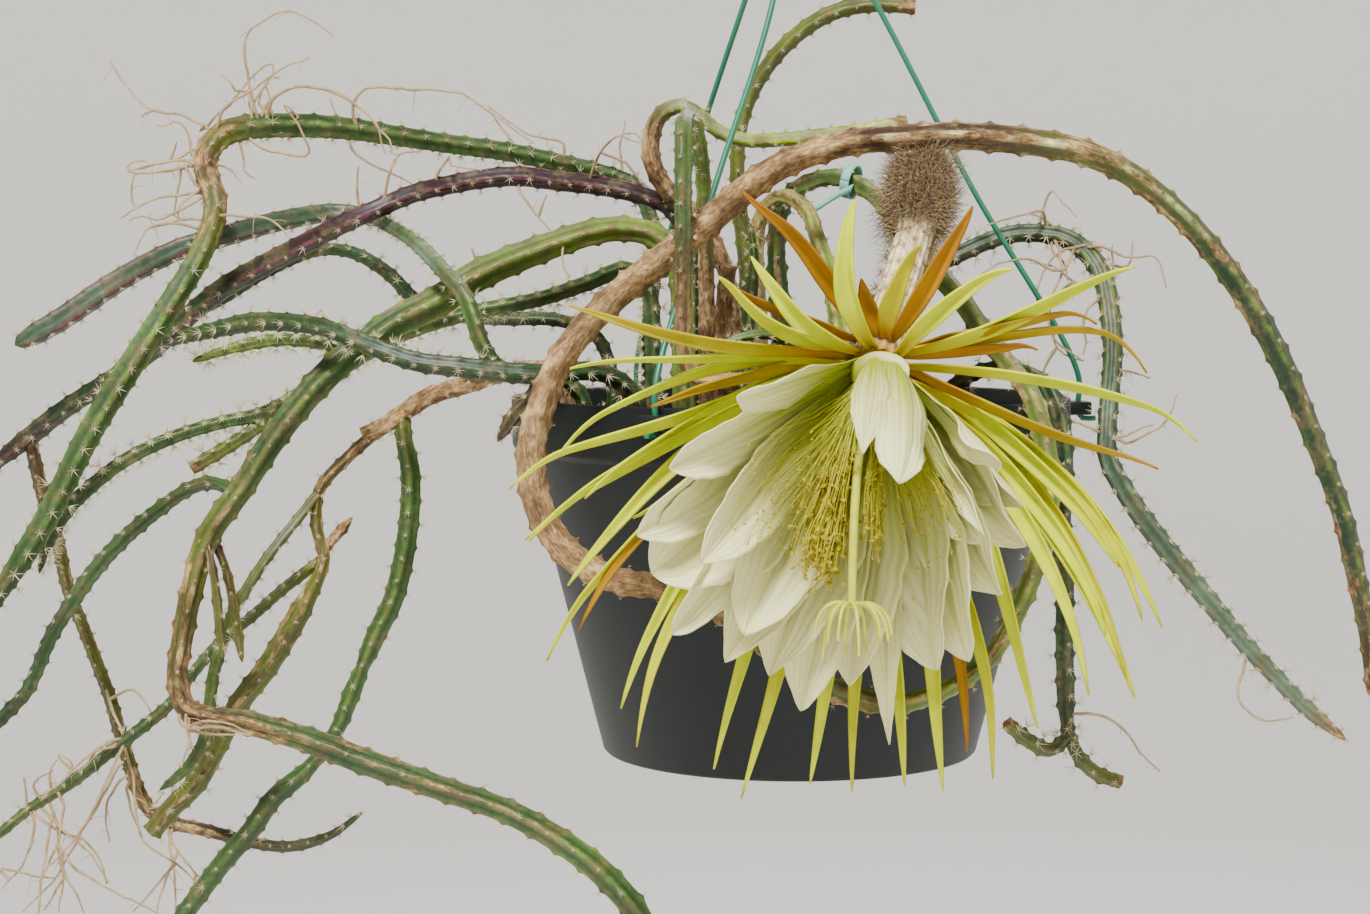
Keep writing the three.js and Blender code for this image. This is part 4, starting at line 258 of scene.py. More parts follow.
# The air roots on the stems of a node, one route each.
AIR_ROOTS = {
    "stem_arch": [
        [(-236, -8, 118), (-239, -14, 137), (-240, -18, 158), (-233, -20, 164), (-218, -22, 168),
         (-200, -24, 157)],
        [(-255, -14, 114), (-250, -20, 126), (-237, -26, 134), (-222, -30, 143), (-209, -34, 148)],
        [(-252, -13, 115), (-270, -8, 125), (-283, -4, 127), (-292, 0, 134), (-298, 2, 141), (-304, 4, 149)],
        [(-258, -22, 100), (-267, -26, 104), (-277, -30, 102), (-289, -36, 98)],
        [(-254, -25, 90), (-270, -26, 89), (-279, -28, 87), (-293, -30, 78)],
        [(-255, -30, 73), (-268, -34, 76), (-278, -38, 75), (-282, -42, 68), (-285, -44, 62)],
        [(-234, -6, 119), (-229, -14, 131), (-219, -20, 136), (-204, -26, 135), (-192, -28, 129),
         (-182, -28, 119), (-178, -28, 106)],
        [(-194, 7, 118), (-196, 2, 129), (-188, 0, 137), (-170, -2, 136), (-148, -4, 135), (-129, -4, 122),
         (-114, -4, 112)],
        [(-244, -8, 118), (-234, -14, 110), (-220, -18, 107), (-213, -22, 107), (-215, -28, 118),
         (-221, -32, 127)],
        [(-254, -28, 80), (-239, -38, 79), (-227, -44, 78), (-219, -48, 71)],
        [(-260, -11, 120), (-262, -11, 117), (-255, -10, 124), (-249, -9, 129), (-245, -9, 135),
         (-242, -8, 139), (-235, -8, 145), (-230, -7, 147)],
        [(-282, -4, 127), (-287, -4, 126), (-289, -4, 124)],
        [(-236, -6, 120), (-235, -8, 124), (-232, -9, 130), (-222, -10, 136), (-216, -11, 137),
         (-201, -13, 134), (-193, -14, 129), (-186, -15, 124), (-182, -16, 118), (-177, -17, 112),
         (-177, -17, 108), (-174, -18, 106), (-178, -19, 97), (-180, -20, 87)],
        [(-258, -19, 105), (-263, -21, 106), (-264, -22, 112), (-266, -24, 118), (-270, -25, 121),
         (-274, -27, 119), (-278, -28, 119)],
        [(-258, -20, 101), (-260, -22, 100), (-264, -25, 104), (-265, -27, 98), (-261, -29, 95)],
        [(-258, -20, 101), (-260, -22, 101), (-267, -24, 101), (-275, -25, 99), (-284, -27, 98),
         (-289, -29, 98), (-291, -29, 101), (-288, -30, 103), (-283, -31, 103)],
        [(-258, -18, 106), (-262, -20, 109), (-268, -21, 106), (-273, -22, 104), (-281, -24, 101),
         (-286, -25, 100)],
        [(-254, -25, 89), (-258, -27, 88), (-267, -32, 82), (-276, -36, 78), (-282, -39, 79),
         (-287, -42, 77)],
        [(-255, -24, 92), (-259, -26, 91), (-265, -29, 87), (-268, -32, 81), (-267, -33, 77)],
        [(-256, -23, 94), (-260, -25, 92), (-267, -23, 101), (-269, -22, 94), (-271, -20, 87),
         (-272, -19, 80), (-270, -18, 78)],
        [(-245, -10, 118), (-244, -12, 114), (-242, -12, 104), (-241, -12, 99), (-237, -12, 96)],
        [(-258, -20, 101), (-251, -20, 102), (-245, -22, 99), (-241, -23, 95)],
        [(-228, -3, 120), (-231, -7, 127), (-232, -8, 133), (-233, -8, 137)],
        [(-202, 7, 119), (-202, 5, 121), (-204, 6, 127), (-206, 7, 133)],
        [(-198, 8, 119), (-198, 6, 116), (-196, 7, 109), (-189, 8, 104), (-181, 9, 100), (-170, 11, 94)],
        [(-236, -6, 120), (-236, -8, 122), (-240, -8, 127), (-241, -7, 134)],
        [(-234, -6, 120), (-233, -8, 122), (-233, -9, 126), (-236, -9, 129), (-235, -10, 134),
         (-232, -11, 137)],
        [(-253, -28, 77), (-258, -30, 78), (-266, -32, 78), (-276, -33, 75), (-280, -33, 74)],
        [(-239, -8, 119), (-239, -10, 122), (-239, -10, 127), (-237, -10, 132), (-229, -10, 142),
         (-229, -10, 147)],
        [(-273, -22, 104), (-271, -23, 108), (-270, -25, 112)],
        [(-286, -29, 83), (-288, -29, 85), (-288, -30, 93), (-287, -30, 98)],
        [(-239, -13, 135), (-245, -15, 135), (-247, -17, 139), (-251, -18, 141)],
        [(-229, -10, 141), (-226, -10, 141)],
        [(-217, 1, 120), (-217, -1, 118), (-220, -4, 125), (-224, -7, 129)],
        [(-104, 38, 105), (-103, 36, 114), (-121, 36, 119), (-138, 36, 131)],
        [(-76, 45, 98), (-77, 44, 109), (-75, 46, 125)],
        [(-89, 43, 102), (-89, 41, 98), (-87, 37, 109), (-77, 33, 118), (-69, 31, 118), (-65, 29, 111)],
        [(-106, 38, 105), (-107, 36, 100), (-115, 37, 103), (-125, 39, 113), (-138, 41, 130)],
        [(-86, 37, 110), (-75, 38, 105), (-65, 39, 95), (-53, 41, 86)],
    ],
    "stem_purple": [
        [(-91, 12, 94), (-86, 2, 107), (-77, -6, 115), (-67, -10, 112)],
        [(-312, 6, -130), (-303, -4, -150), (-297, -8, -170), (-290, -14, -200), (-270, -20, -212),
         (-263, -25, -220)],
        [(-190, -10, 81), (-192, -12, 86), (-192, -15, 93), (-191, -19, 101)],
        [(-179, -9, 85), (-180, -11, 88), (-174, -11, 107), (-164, -11, 109)],
        [(-158, 0, 93), (-158, -2, 97), (-152, -7, 107), (-151, -9, 103), (-137, -15, 100)],
        [(-121, 8, 98), (-122, 6, 92), (-114, 4, 82), (-108, 3, 74)],
        [(-113, 4, 80), (-109, 2, 90)],
        [(-301, 6, -167), (-304, 4, -168), (-314, 0, -187), (-322, -4, -201), (-332, -7, -218),
         (-346, -12, -233)],
        [(-298, 5, -177), (-301, 3, -177), (-299, 5, -191), (-295, 7, -204)],
        [(-299, 5, -173), (-304, 3, -175), (-310, 2, -188), (-309, 1, -204)],
        [(-281, 1, -194), (-282, -1, -198), (-275, -5, -209), (-265, -10, -219)],
        [(-277, -4, -207), (-283, -4, -220), (-287, -3, -235)],
        [(-275, -18, -209), (-286, -18, -221), (-295, -19, -231)],
        [(-268, -9, -216), (-270, -9, -226)],
        [(-279, 0, -195), (-281, -2, -200), (-279, -4, -214), (-278, -7, -233)],
        [(-308, 2, -138), (-297, 2, -134), (-291, -1, -140), (-288, -3, -145)],
        [(-308, 6, -140), (-307, 4, -155)],
        [(-291, 3, -189), (-283, -4, -180)],
    ],
    "stem_main": [
        [(-258, -79, -129), (-256, -88, -136), (-243, -94, -134), (-228, -98, -137)],
        [(-257, -80, -131), (-256, -88, -142), (-259, -90, -152)],
        [(-137, -30, 54), (-138, -32, 58), (-140, -35, 66)],
        [(-97, -22, 70), (-99, -24, 72), (-101, -27, 60), (-97, -29, 53)],
        [(-195, -30, 33), (-201, -30, 32), (-206, -32, 39), (-208, -34, 35)],
        [(-258, -79, -129), (-261, -81, -132), (-258, -83, -136), (-249, -86, -133), (-238, -90, -134),
         (-228, -94, -137)],
        [(-257, -87, -135), (-256, -87, -139), (-254, -87, -145)],
        [(-257, -87, -137), (-246, -89, -138), (-236, -90, -138)],
    ],
    "stem_woody": [
        [(-300, -16, -156), (-310, -22, -158), (-318, -26, -165), (-332, -30, -177)],
        [(-333, -13, -180), (-329, -14, -199), (-336, -16, -216), (-337, -18, -232)],
        [(-298, -16, -155), (-307, -24, -176), (-316, -30, -193), (-329, -34, -207)],
        [(-338, -12, -184), (-323, -20, -196), (-313, -24, -203), (-304, -28, -216)],
        [(-319, -26, -166), (-326, -26, -158), (-319, -26, -161), (-320, -25, -166), (-324, -25, -170)],
        [(-299, -15, -155), (-300, -17, -153), (-309, -21, -157), (-314, -23, -165), (-323, -27, -169),
         (-332, -31, -178)],
        [(-341, -12, -185), (-338, -14, -189), (-326, -17, -196), (-315, -20, -199), (-308, -23, -208),
         (-305, -25, -217)],
        [(-331, -13, -179), (-332, -15, -170), (-329, -14, -163)],
        [(-329, -13, -178), (-329, -15, -176), (-326, -16, -184), (-327, -18, -194), (-328, -19, -205),
         (-325, -21, -218), (-328, -22, -231)],
        [(-343, -12, -186), (-343, -14, -180), (-344, -16, -170)],
        [(-336, -13, -182), (-339, -17, -173), (-329, -21, -166)],
        [(-331, -13, -186), (-332, -20, -199), (-334, -27, -214), (-333, -34, -228)],
        [(-343, -12, -186), (-340, -14, -189), (-341, -12, -201), (-346, -10, -212), (-356, -8, -223)],
        [(-328, -19, -200), (-320, -23, -210), (-303, -31, -218), (-279, -40, -226)],
        [(-323, -32, -201), (-323, -32, -211), (-317, -30, -221), (-314, -30, -229)],
        [(-352, -9, -219), (-357, -9, -214), (-345, -11, -215), (-330, -14, -217)],
        [(-325, -21, -215), (-330, -19, -223), (-335, -18, -231)],
    ],
    "stem_right": [
        [(118, 24, 73), (115, 16, 82), (102, 6, 80), (87, -2, 76)],
        [(114, 24, 74), (119, 20, 92), (124, 12, 86), (129, 6, 80)],
        [(120, 23, 72), (122, 12, 64), (122, 4, 54), (115, -4, 38), (117, -8, 26), (129, -14, 16)],
        [(130, 18, 68), (122, 2, 56), (107, -8, 60), (92, -14, 59), (80, -22, 51)],
        [(134, 17, 66), (140, 8, 66), (152, 0, 62), (164, -4, 61), (167, -8, 48)],
        [(201, -32, -110), (195, -40, -130), (204, -44, -140), (218, -46, -138)],
        [(122, 22, 72), (122, 20, 74), (116, 20, 79), (110, 20, 81)],
        [(137, 16, 62), (138, 14, 64), (143, 14, 65), (135, 13, 66)],
        [(120, 23, 73), (120, 19, 64), (125, 18, 59), (127, 16, 51)],
        [(140, 13, 57), (133, 12, 49), (124, 13, 55), (118, 13, 58), (109, 14, 59)],
        [(139, 14, 59), (141, 12, 60), (152, 8, 58), (155, 5, 69)],
        [(142, 11, 52), (145, 9, 54), (145, 6, 67)],
        [(140, 12, 56), (144, 10, 58), (136, 11, 53), (129, 12, 49), (123, 12, 45), (118, 12, 42)],
        [(135, 17, 65), (136, 15, 67), (124, 13, 65), (117, 11, 58), (112, 9, 47), (111, 7, 40)],
        [(143, 7, 43), (140, 5, 43), (133, 5, 37), (132, 5, 30), (133, 5, 24), (132, 5, 18)],
        [(129, 12, 51), (121, 12, 45), (118, 12, 39), (119, 11, 30), (121, 11, 21), (127, 10, 16),
         (133, 10, 15)],
        [(121, 11, 21), (115, 13, 11), (112, 15, 1)],
        [(143, -6, 12), (145, -8, 12), (153, -7, 10), (160, -5, 8)],
        [(140, -17, -16), (137, -19, -16), (124, -19, -11), (118, -18, -19), (114, -18, -19)],
        [(140, -18, -18), (143, -20, -18), (148, -19, -20), (161, -18, -14), (166, -18, -10), (171, -17, 1)],
        [(140, -18, -18), (144, -20, -18), (158, -25, -12)],
    ],
    "stem_tail": [
        [(115, -74, -132), (129, -78, -132), (138, -80, -138), (146, -82, -148), (153, -84, -156)],
    ],
}

# How the stems of a node differ: ribs, areole spacing, lift of the areoles and longest spine in millimetres,
# how hairy they are, and how deep their furrows are against the usual.
HABIT = {
    "stem_arch": (5, 10, 0.9, 5.04, 0, 0.55),
    "stem_purple": (4, 9, 0.7, 3.64, 0, 0.7),
    "stem_blue": (4, 9, 0.8, 3.92, 0, 0.75),
    "stem_main": (4, 13, 1.1, 3.64, 0, 1.1),
    "stem_dark": (5, 9, 0.8, 4.48, 0.3, 0.65),
    "stem_lower": (4, 9, 0.7, 4.2, 0, 0.7),
    "stem_hairy": (5, 8, 0.7, 5.04, 1, 0.6),
    "stem_woody": (4, 10, 0.8, 4.2, 0.2, 0.8),
    "stem_ring": (4, 14, 1.4, 3.36, 0, 0.55),
    "stem_right": (5, 9, 0.8, 5.88, 0.1, 0.75),
    "stem_pale": (4, 10, 0.6, 3.36, 0, 0.9),
    "stem_tail": (4, 11, 1.2, 4.76, 0, 1),
    "stem_cut": (4, 10, 0.8, 4.2, 0, 0.7),
    "stem_loop": (4, 10, 0.7, 3.36, 0, 0.5),
    "stem_hairpin": (4, 9, 0.6, 3.36, 0, 0.9),
    "shoot_upright": (4, 7, 0.4, 3.36, 0, 0.8),
    "shoot_low": (4, 7, 0.4, 3.36, 0, 0.8),
    "stub_dead": (4, 10, 0.8, 2.8, 0, 0.8),
}

# Bloom: the middle of its throat and the way that it looks.
THROAT = np.array([25.0, -192.0, 19.0])
FACING = np.array([-0.12, -0.72, -0.68])
FACING /= np.linalg.norm(FACING)
TUBE_MOUTH = 9.8
OVARY_LENGTH = 36
TUBE_ROUTE = [
    (49, -97, 104.3), (50, -98, 97), (49, -102, 86), (46, -111, 71), (39, -130, 52), (31, -155, 35),
    (27, -176, 26),
]
TUBE_GIRTH = [(0, 5.5), (0.06, 9.6), (0.16, 10.6), (0.28, 7.4), (0.5, 7.6), (0.75, 7.8), (1, TUBE_MOUTH)]
# Narrow outer tepals: how far right and up the tip is from the throat as they look from the front, how far
# the blade bows to its left on the way, and how brown it is.
SEPALS = [
    (-10, 62, 6, 0), (-48, 41, 5, 0), (-60, 38, 7, 0.1), (15, 47, 3, 0.35), (49, 38, 5, 0), (93, 40, -2, 0),
    (-115, 2, 0, 0), (-120, -27, -8, 0), (-138, -38, 6, 0), (-110, -46, -2, 0), (-131, -58, 3, 0),
    (-133, -68, -2, 0), (-117, -83, -5, 0), (-125, -103, -4, 0.15), (-97, -128, -8, 0), (119, -21, 4, 0),
    (94, -78, 7, 0), (103, -91, 8, 0.2), (90, -104, 8, 0), (111, -100, 9, 0), (98, -115, 8, 0.25),
    (84, -121, 7, 0), (102, -127, 9, 0), (-91, -140, -7, 0.15), (-61, -152, -3, 0), (-50, -166, 0, 0.1),
    (-23, -165, 0, 0), (-7, -158, 0, 0.2), (14, -168, -3, 0), (29, -165, 2, 0), (48, -157, 4, 0.15),
    (65, -142, 5, 0), (-52, 62, -6, 1), (-55, 30, 3, 1), (33, 59, -1, 1), (-115, 25, 6, 0.5),
    (-85, -15, 0, 0.7), (-113, -98, -4, 0.9), (99, 7, 7, 0.65), (59, 11, -2, 1), (106, -35, -8, 0.7),
    (38, -149, 3, 0.9), (-7, 33, 0, 1), (80, 22, 4, 0.8), (-92, -60, 2, 0.2),
]
# White petals: how far right, back and up the tip is from the throat, the width and how far it bows out.
PETALS = [
    (-77, -10, -99, 24, 0), (-57, 2, -112, 38, 0), (-40, 6, -117, 42, 2), (-28, 12, -134, 32, 3),
    (-9, 14, -124, 42, 2), (7, 20, -148, 17, 0), (24, 10, -118, 42, 2), (36, 4, -114, 42, 0),
    (47, -8, -87, 42, 3), (54, -22, -65, 44, 3), (-90, -24, -61, 32, 2), (-85, -16, -78, 44, 2),
    (-78, -40, -35, 28, 3), (-54, -54, -10, 24, 3), (3, -70, -37, 23, 6), (-9, -62, -27, 15, 10),
    (37, -36, -58, 15, 2), (41, -52, -34, 20, 4), (-66, -30, -70, 30, 2), (-50, -12, -98, 34, 2),
    (52, -26, -48, 30, 3),
]
# The small petal that arches over the top of the throat.
HOOD = [(-9, -7, -5), (-6, -12, 0.5), (0, -15, 3.5), (6, -17, 2), (9.5, -18, -6)]
# Outlines: share of the length and share of the width.
PETAL_OUTLINE = [
    (0, 0.2), (0.1, 0.34), (0.22, 0.58), (0.36, 0.85), (0.5, 0.99), (0.6, 1), (0.7, 0.95), (0.8, 0.81),
    (0.88, 0.6), (0.94, 0.37), (0.98, 0.17), (1, 0.03),
]
SEPAL_OUTLINE = [
    (0, 0.5), (0.12, 0.68), (0.3, 0.97), (0.42, 1), (0.6, 0.84), (0.75, 0.62), (0.88, 0.38), (0.96, 0.17),
    (1, 0.03),
]
# Stamens: their share, the middle of the anthers at the near and far end, measured from the throat, how far
# they scatter right, back and up, and the filaments' radius. The style's route is from the throat too.
STAMEN_FANS = [
    (0.7, (-14, -25, -30), (-21, -29, -72), (4, 3.6, 5), 0.2),
    (0.08, (-2, -26, -34), (-3, -30, -62), (2.3, 3, 5), 0.18),
    (0.13, (-29, -29, -32), (-39, -27, -60), (9, 5, 8), 0.11),
    (0.09, (14, -29, -38), (20, -27, -62), (7, 5, 8), 0.11),
]
STYLE_ROUTE = [(-4, -11, -13), (-8, -22, -31), (-10, -28, -54), (-11, -31, -86)]
STIGMA_LOBES = 12
FILAMENT_RING = (3.6, 6.8)  # from the throat's middle to the nearest and the furthest foot
BESIDE_STYLE, BEHIND_STYLE = 2.6, 3  # room for the style, seen from the front, and behind it

# Hanger: how many degrees round the pot each wire's ear is, and the wire's bends on its way up to the neck,
# where the wires twist together. The hook's route is right and up.
EARS = {
    243: [(-35, -70, 90), (-9, -27, 173)],
    123: [(-64, 90, 42), (-37, 46, 128), (-20, 22, 178)],
    3: [(82, 5, 92), (36, 3, 178)],
}
EAR_CIRCLE, EAR_HEIGHT = 129, -6
EAR_SIZE = (13, 15, 6)  # outwards, round the pot, up
WIRE_CIRCLE, WIRE_RADIUS = 130.5, 1.3
NECK = (234, 256)  # the foot and the top of the twist
HOOK_ROUTE = [
    (0, 250), (0, 258), (1, 262.5), (5, 266), (9, 269.3), (13, 274), (15, 279.3), (15.4, 286), (14, 291.3),
    (11, 295.6), (7, 298.3), (3.5, 299.6), (0, 299.9), (-4, 299.2), (-8, 297.3), (-11, 294.4), (-13, 290.3),
    (-14, 284.3),
]

# The tie: the middle of its loop, which goes round a stem, and its loose end.
TIE_MIDDLE, TIE_RADIUS = (26, -15.5, 95), 7.3
TIE_END = [(26, -21.5, 92), (18, -30, 88), (10, -38, 83), (3, -46, 80)]


def linear(code):
    """An sRGB hex colour as linear red, green, blue."""
    channels = [int(code[i : i + 2], 16) / 255 for i in (1, 3, 5)]
    return tuple(c / 12.92 if c <= 0.04045 else ((c + 0.055) / 1.055) ** 2.4 for c in channels)


def tone(code, description):
    """A colour that the sidebar shows, from its hex value."""
    return bpy.props.FloatVectorProperty(
        name=description, description=description, default=linear(code), subtype="COLOR", min=0, max=1
    )


class CactusTones(bpy.types.PropertyGroup):
    """Colours of the plant, the pot and the hanger."""

    leaf: tone("#395228", "Fresh green skin")
    fresh: tone("#6a802e", "Yellow-green skin")
    deep: tone("#24391f", "Dark green skin")
    sea: tone("#364b34", "Grey-green skin")
    mist: tone("#5f7157", "Pale blue-green skin")
    plum: tone("#6e3c44", "Purple-brown skin")
    wine: tone("#321a1e", "Dark red-brown skin")
    olive: tone("#5e6822", "Olive skin")
    lime: tone("#9aa92a", "Lime rib edge")
    cream: tone("#dcdc9c", "Cream skin")
    straw: tone("#b7a45c", "Straw skin")
    cork: tone("#836440", "Tan cork")
    cork_light: tone("#c2a373", "Pale cork")
    bark: tone("#463222", "Brown bark")
    blotch: tone("#5e5334", "Aged blotches on the skin")
    spine: tone("#d3c4a0", "Spines")
    root: tone("#b3966c", "Air roots")
    bristle: tone("#2c2118", "Bristles on the ovary")
    petal: tone("#ebe6a8", "Petals")
    # The petals' yellow-green foot, dark enough to be partly painted shade inside the cup.
    petal_foot_and_shade: tone("#8f9a10", "Foot of the petals")
    sepal: tone("#c8d200", "Lime outer tepals")
    sepal_outer: tone("#ab7a0c", "Orange-brown outer tepals")
    sepal_tip: tone("#84520e", "Brown tips of the outer tepals")
    filament: tone("#a8a20c", "Filaments")
    anther: tone("#b29a0a", "Anthers")
    style: tone("#c6c834", "Style and stigma")
    tube: tone("#e9d9a8", "Floral tube")
    tube_rib: tone("#c79c80", "Ribs of the floral tube")
    pot: tone("#0d1311", "Moulded pot")
    soil: tone("#3a2a1e", "Potting soil")
    wire: tone("#1c6b4a", "Coated wire")
    tie: tone("#7fc0a8", "Soft tie")


class CactusSizes(bpy.types.PropertyGroup):
    """Sizes of the plant's details."""

    furrow: bpy.props.FloatProperty(
        name="Furrow depth", description="Depth of the furrows as a share of the radius",
        default=0.3, min=0, max=0.6,
    )
    spine: bpy.props.FloatProperty(
        name="Spine size", description="Length of the spines against the usual one",
        default=1, min=0.1, max=3,
    )
    root: bpy.props.FloatProperty(
        name="Root radius", description="Radius of an air root at its foot",
        default=0.0007, min=0.0002, max=0.002, subtype="DISTANCE", unit="LENGTH",
    )
    stamens: bpy.props.IntProperty(
        name="Stamens", description="Number of filaments in the bloom", default=1500, min=20, max=2000
    )
    petal_thickness: bpy.props.FloatProperty(
        name="Petal thickness", description="Thickness of the white petals",
        default=0.0005, min=0.0002, max=0.002, subtype="DISTANCE", unit="LENGTH",
    )
    petal_wave: bpy.props.FloatProperty(
        name="Petal wave", description="Height of the waves on the petals' edges, as a share of the petal",
        default=0.2, min=0, max=0.6,
    )
    crumbs: bpy.props.FloatProperty(
        name="Soil crumbs", description="Crumbs on a square metre of soil", default=42000, min=0, max=100000
    )


# Paths


def placed(points):
    """Points in millimetres from the rim, as metres below the hook."""
    return (np.asarray(points, float) - (0, 0, HOOK_HEIGHT)) * MM


def unit(vectors):
    """A vector, or a row of them, made one long."""
    return vectors / np.linalg.norm(vectors, axis=-1, keepdims=True)


def circle(radius, height, count):
    """Evenly spaced points on a level circle round the pot's axis, or one where the radius is 0."""
    turns = np.linspace(0, 2 * math.pi, count if radius else 1, endpoint=False)
    return [(radius * math.cos(a), radius * math.sin(a), height) for a in turns]


def blended(at, places, rows):
    """Rows of three numbers, blended between the places that they hold for."""
    return np.stack([np.interp(at, places, rows[:, i]) for i in range(3)], axis=1)


def smooth_path(route, step):
    """Even points on the smooth curve through a route, their shares of the length, and the length."""
    knots = np.asarray(route, float)
    knots = np.vstack([2 * knots[0] - knots[1], knots, 2 * knots[-1] - knots[-2]])
    pieces = []
    t = np.linspace(0, 1, 24, endpoint=False)[:, None]
    for before, start, end, after in zip(knots, knots[1:], knots[2:], knots[3:]):
        lead, span, trail = (
            math.sqrt(np.linalg.norm(b - a)) for a, b in ((before, start), (start, end), (end, after))
        )
        into = (start - before) / lead - (end - before) / (lead + span) + (end - start) / span
        out = (end - start) / span - (after - start) / (span + trail) + (after - end) / trail
        pieces.append(
            start * (2 * t**3 - 3 * t**2 + 1) + end * (3 * t**2 - 2 * t**3)
            + into * span * (t**3 - 2 * t**2 + t) + out * span * (t**3 - t**2)
        )
    fine = np.vstack(pieces + [knots[-2:-1]])
    run = np.concatenate([[0], np.cumsum(np.linalg.norm(np.diff(fine, axis=0), axis=1))])
    share = np.linspace(0, 1, max(4, round(run[-1] / step) + 1))
    return blended(share * run[-1], run, fine), share, run[-1]


def along(pairs, share):
    """Values at shares of the length, from share and value pairs."""
    return np.interp(share, *zip(*pairs))


def skin_along(stops, share):
    """The tones of the skin and of its rib edges, as linear colours, and its cork, blended between stops."""
    tones = bpy.context.scene.cactus_tones
    places, skin, rim, cork = zip(*stops)
    skin, rim = (np.array([getattr(tones, name) for name in names]) for names in (skin, rim))
    return {
        "skin": blended(share, places, skin),
        "rim": blended(share, places, rim),
        "cork": np.interp(share, places, cork),
    }


# Node trees


def feed(tree, node, inputs):
    """Sets a node's inputs, by name or in order, from values, sockets or nodes' first outputs in use."""
    for key, given in inputs.items() if isinstance(inputs, dict) else enumerate(inputs):
        for value in given if isinstance(given, list) else [given]:
            if isinstance(value, bpy.types.Node):
                value = next(socket for socket in value.outputs if socket.enabled)
            if isinstance(value, bpy.types.NodeSocket):
                tree.links.new(value, node.inputs[key])
            else:
                node.inputs[key].default_value = value


def add(tree, kind, inputs=(), **settings):
    """Adds a node with its settings and its inputs."""
    node = tree.nodes.new(kind)
    for name, value in settings.items():
        setattr(node, name, value)
    feed(tree, node, inputs)
    return node


def tree_with_inputs(name, sockets):
    """A node tree that takes a geometry and the named inputs, with its group input and output nodes."""
    tree = bpy.data.node_groups.new(name, "GeometryNodeTree")
    tree.interface.new_socket("Geometry", in_out="OUTPUT", socket_type="NodeSocketGeometry")
    tree.interface.new_socket("Geometry", in_out="INPUT", socket_type="NodeSocketGeometry")
    for label, kind in sockets.items():
        tree.interface.new_socket(label, in_out="INPUT", socket_type="NodeSocket" + kind)
    return tree, tree.nodes.new("NodeGroupInput").outputs, tree.nodes.new("NodeGroupOutput")


def added(name, data):
    """A new object for the data, in the scene."""
    piece = bpy.data.objects.new(name, data)
    bpy.context.scene.collection.objects.link(piece)
    return piece


def grid_faces(rows, columns, start=0):
    """Faces over rows of points, which are counted from start."""
    corners = [start + row * columns + k for row in range(rows - 1) for k in range(columns - 1)]
    return [(a, a + 1, a + columns + 1, a + columns) for a in corners]


def smooth_piece(name, points, faces, material):
    """A smooth mesh object with one material."""
    mesh = bpy.data.meshes.new(name)
    mesh.from_pydata(points, [], faces)
    mesh.shade_smooth()
    mesh.materials.append(material)
    return added(name, mesh)


def thickened(piece, thickness):
    """Gives a thin sheet its thickness, half to each side."""
    wall = piece.modifiers.new("Thickness", "SOLIDIFY")
    wall.thickness = thickness
    wall.offset = 0


def keep_layer(mesh, label, values):
    """Keeps a number or a linear colour at each point of a mesh."""
    kind, channel = ("FLOAT_COLOR", "color") if values.ndim == 2 else ("FLOAT", "value")
    if values.ndim == 2:
        values = np.hstack([values, np.ones((len(values), 1))])
    layer = mesh.attributes.new(label, kind, "POINT")
    layer.data.foreach_set(channel, values.astype(np.float32).ravel())


def strands_mesh(strands):
    """A mesh of loose lines, one for each strand's path, that keeps the strands' other values."""
    kept = {key: np.concatenate([strand[key] for strand in strands]) for key in strands[0]}
    edges, start = [], 0
    for strand in strands:
        end = start + len(strand["path"])
        edges += zip(range(start, end - 1), range(start + 1, end))
        start = end
    mesh = bpy.data.meshes.new("lines")
    mesh.from_pydata(kept.pop("path").tolist(), edges, [])
    for label, values in kept.items():
        keep_layer(mesh, label, values)
    return mesh


def grown(name, mesh, tree, values):
    """The plain mesh object that a node tree makes of a mesh, its inputs set by their identifiers."""
    piece = added(name, mesh)
    growth = piece.modifiers.new("Growth", "NODES")
    growth.node_group = tree
    for item in tree.interface.items_tree:
        if item.in_out == "INPUT" and item.name in values:
            growth[item.identifier] = values[item.name]
    evaluated = piece.evaluated_get(bpy.context.evaluated_depsgraph_get())
    plain = bpy.data.meshes.new_from_object(evaluated)
    piece.modifiers.clear()
    piece.data = plain
    plain.name = name
    return piece


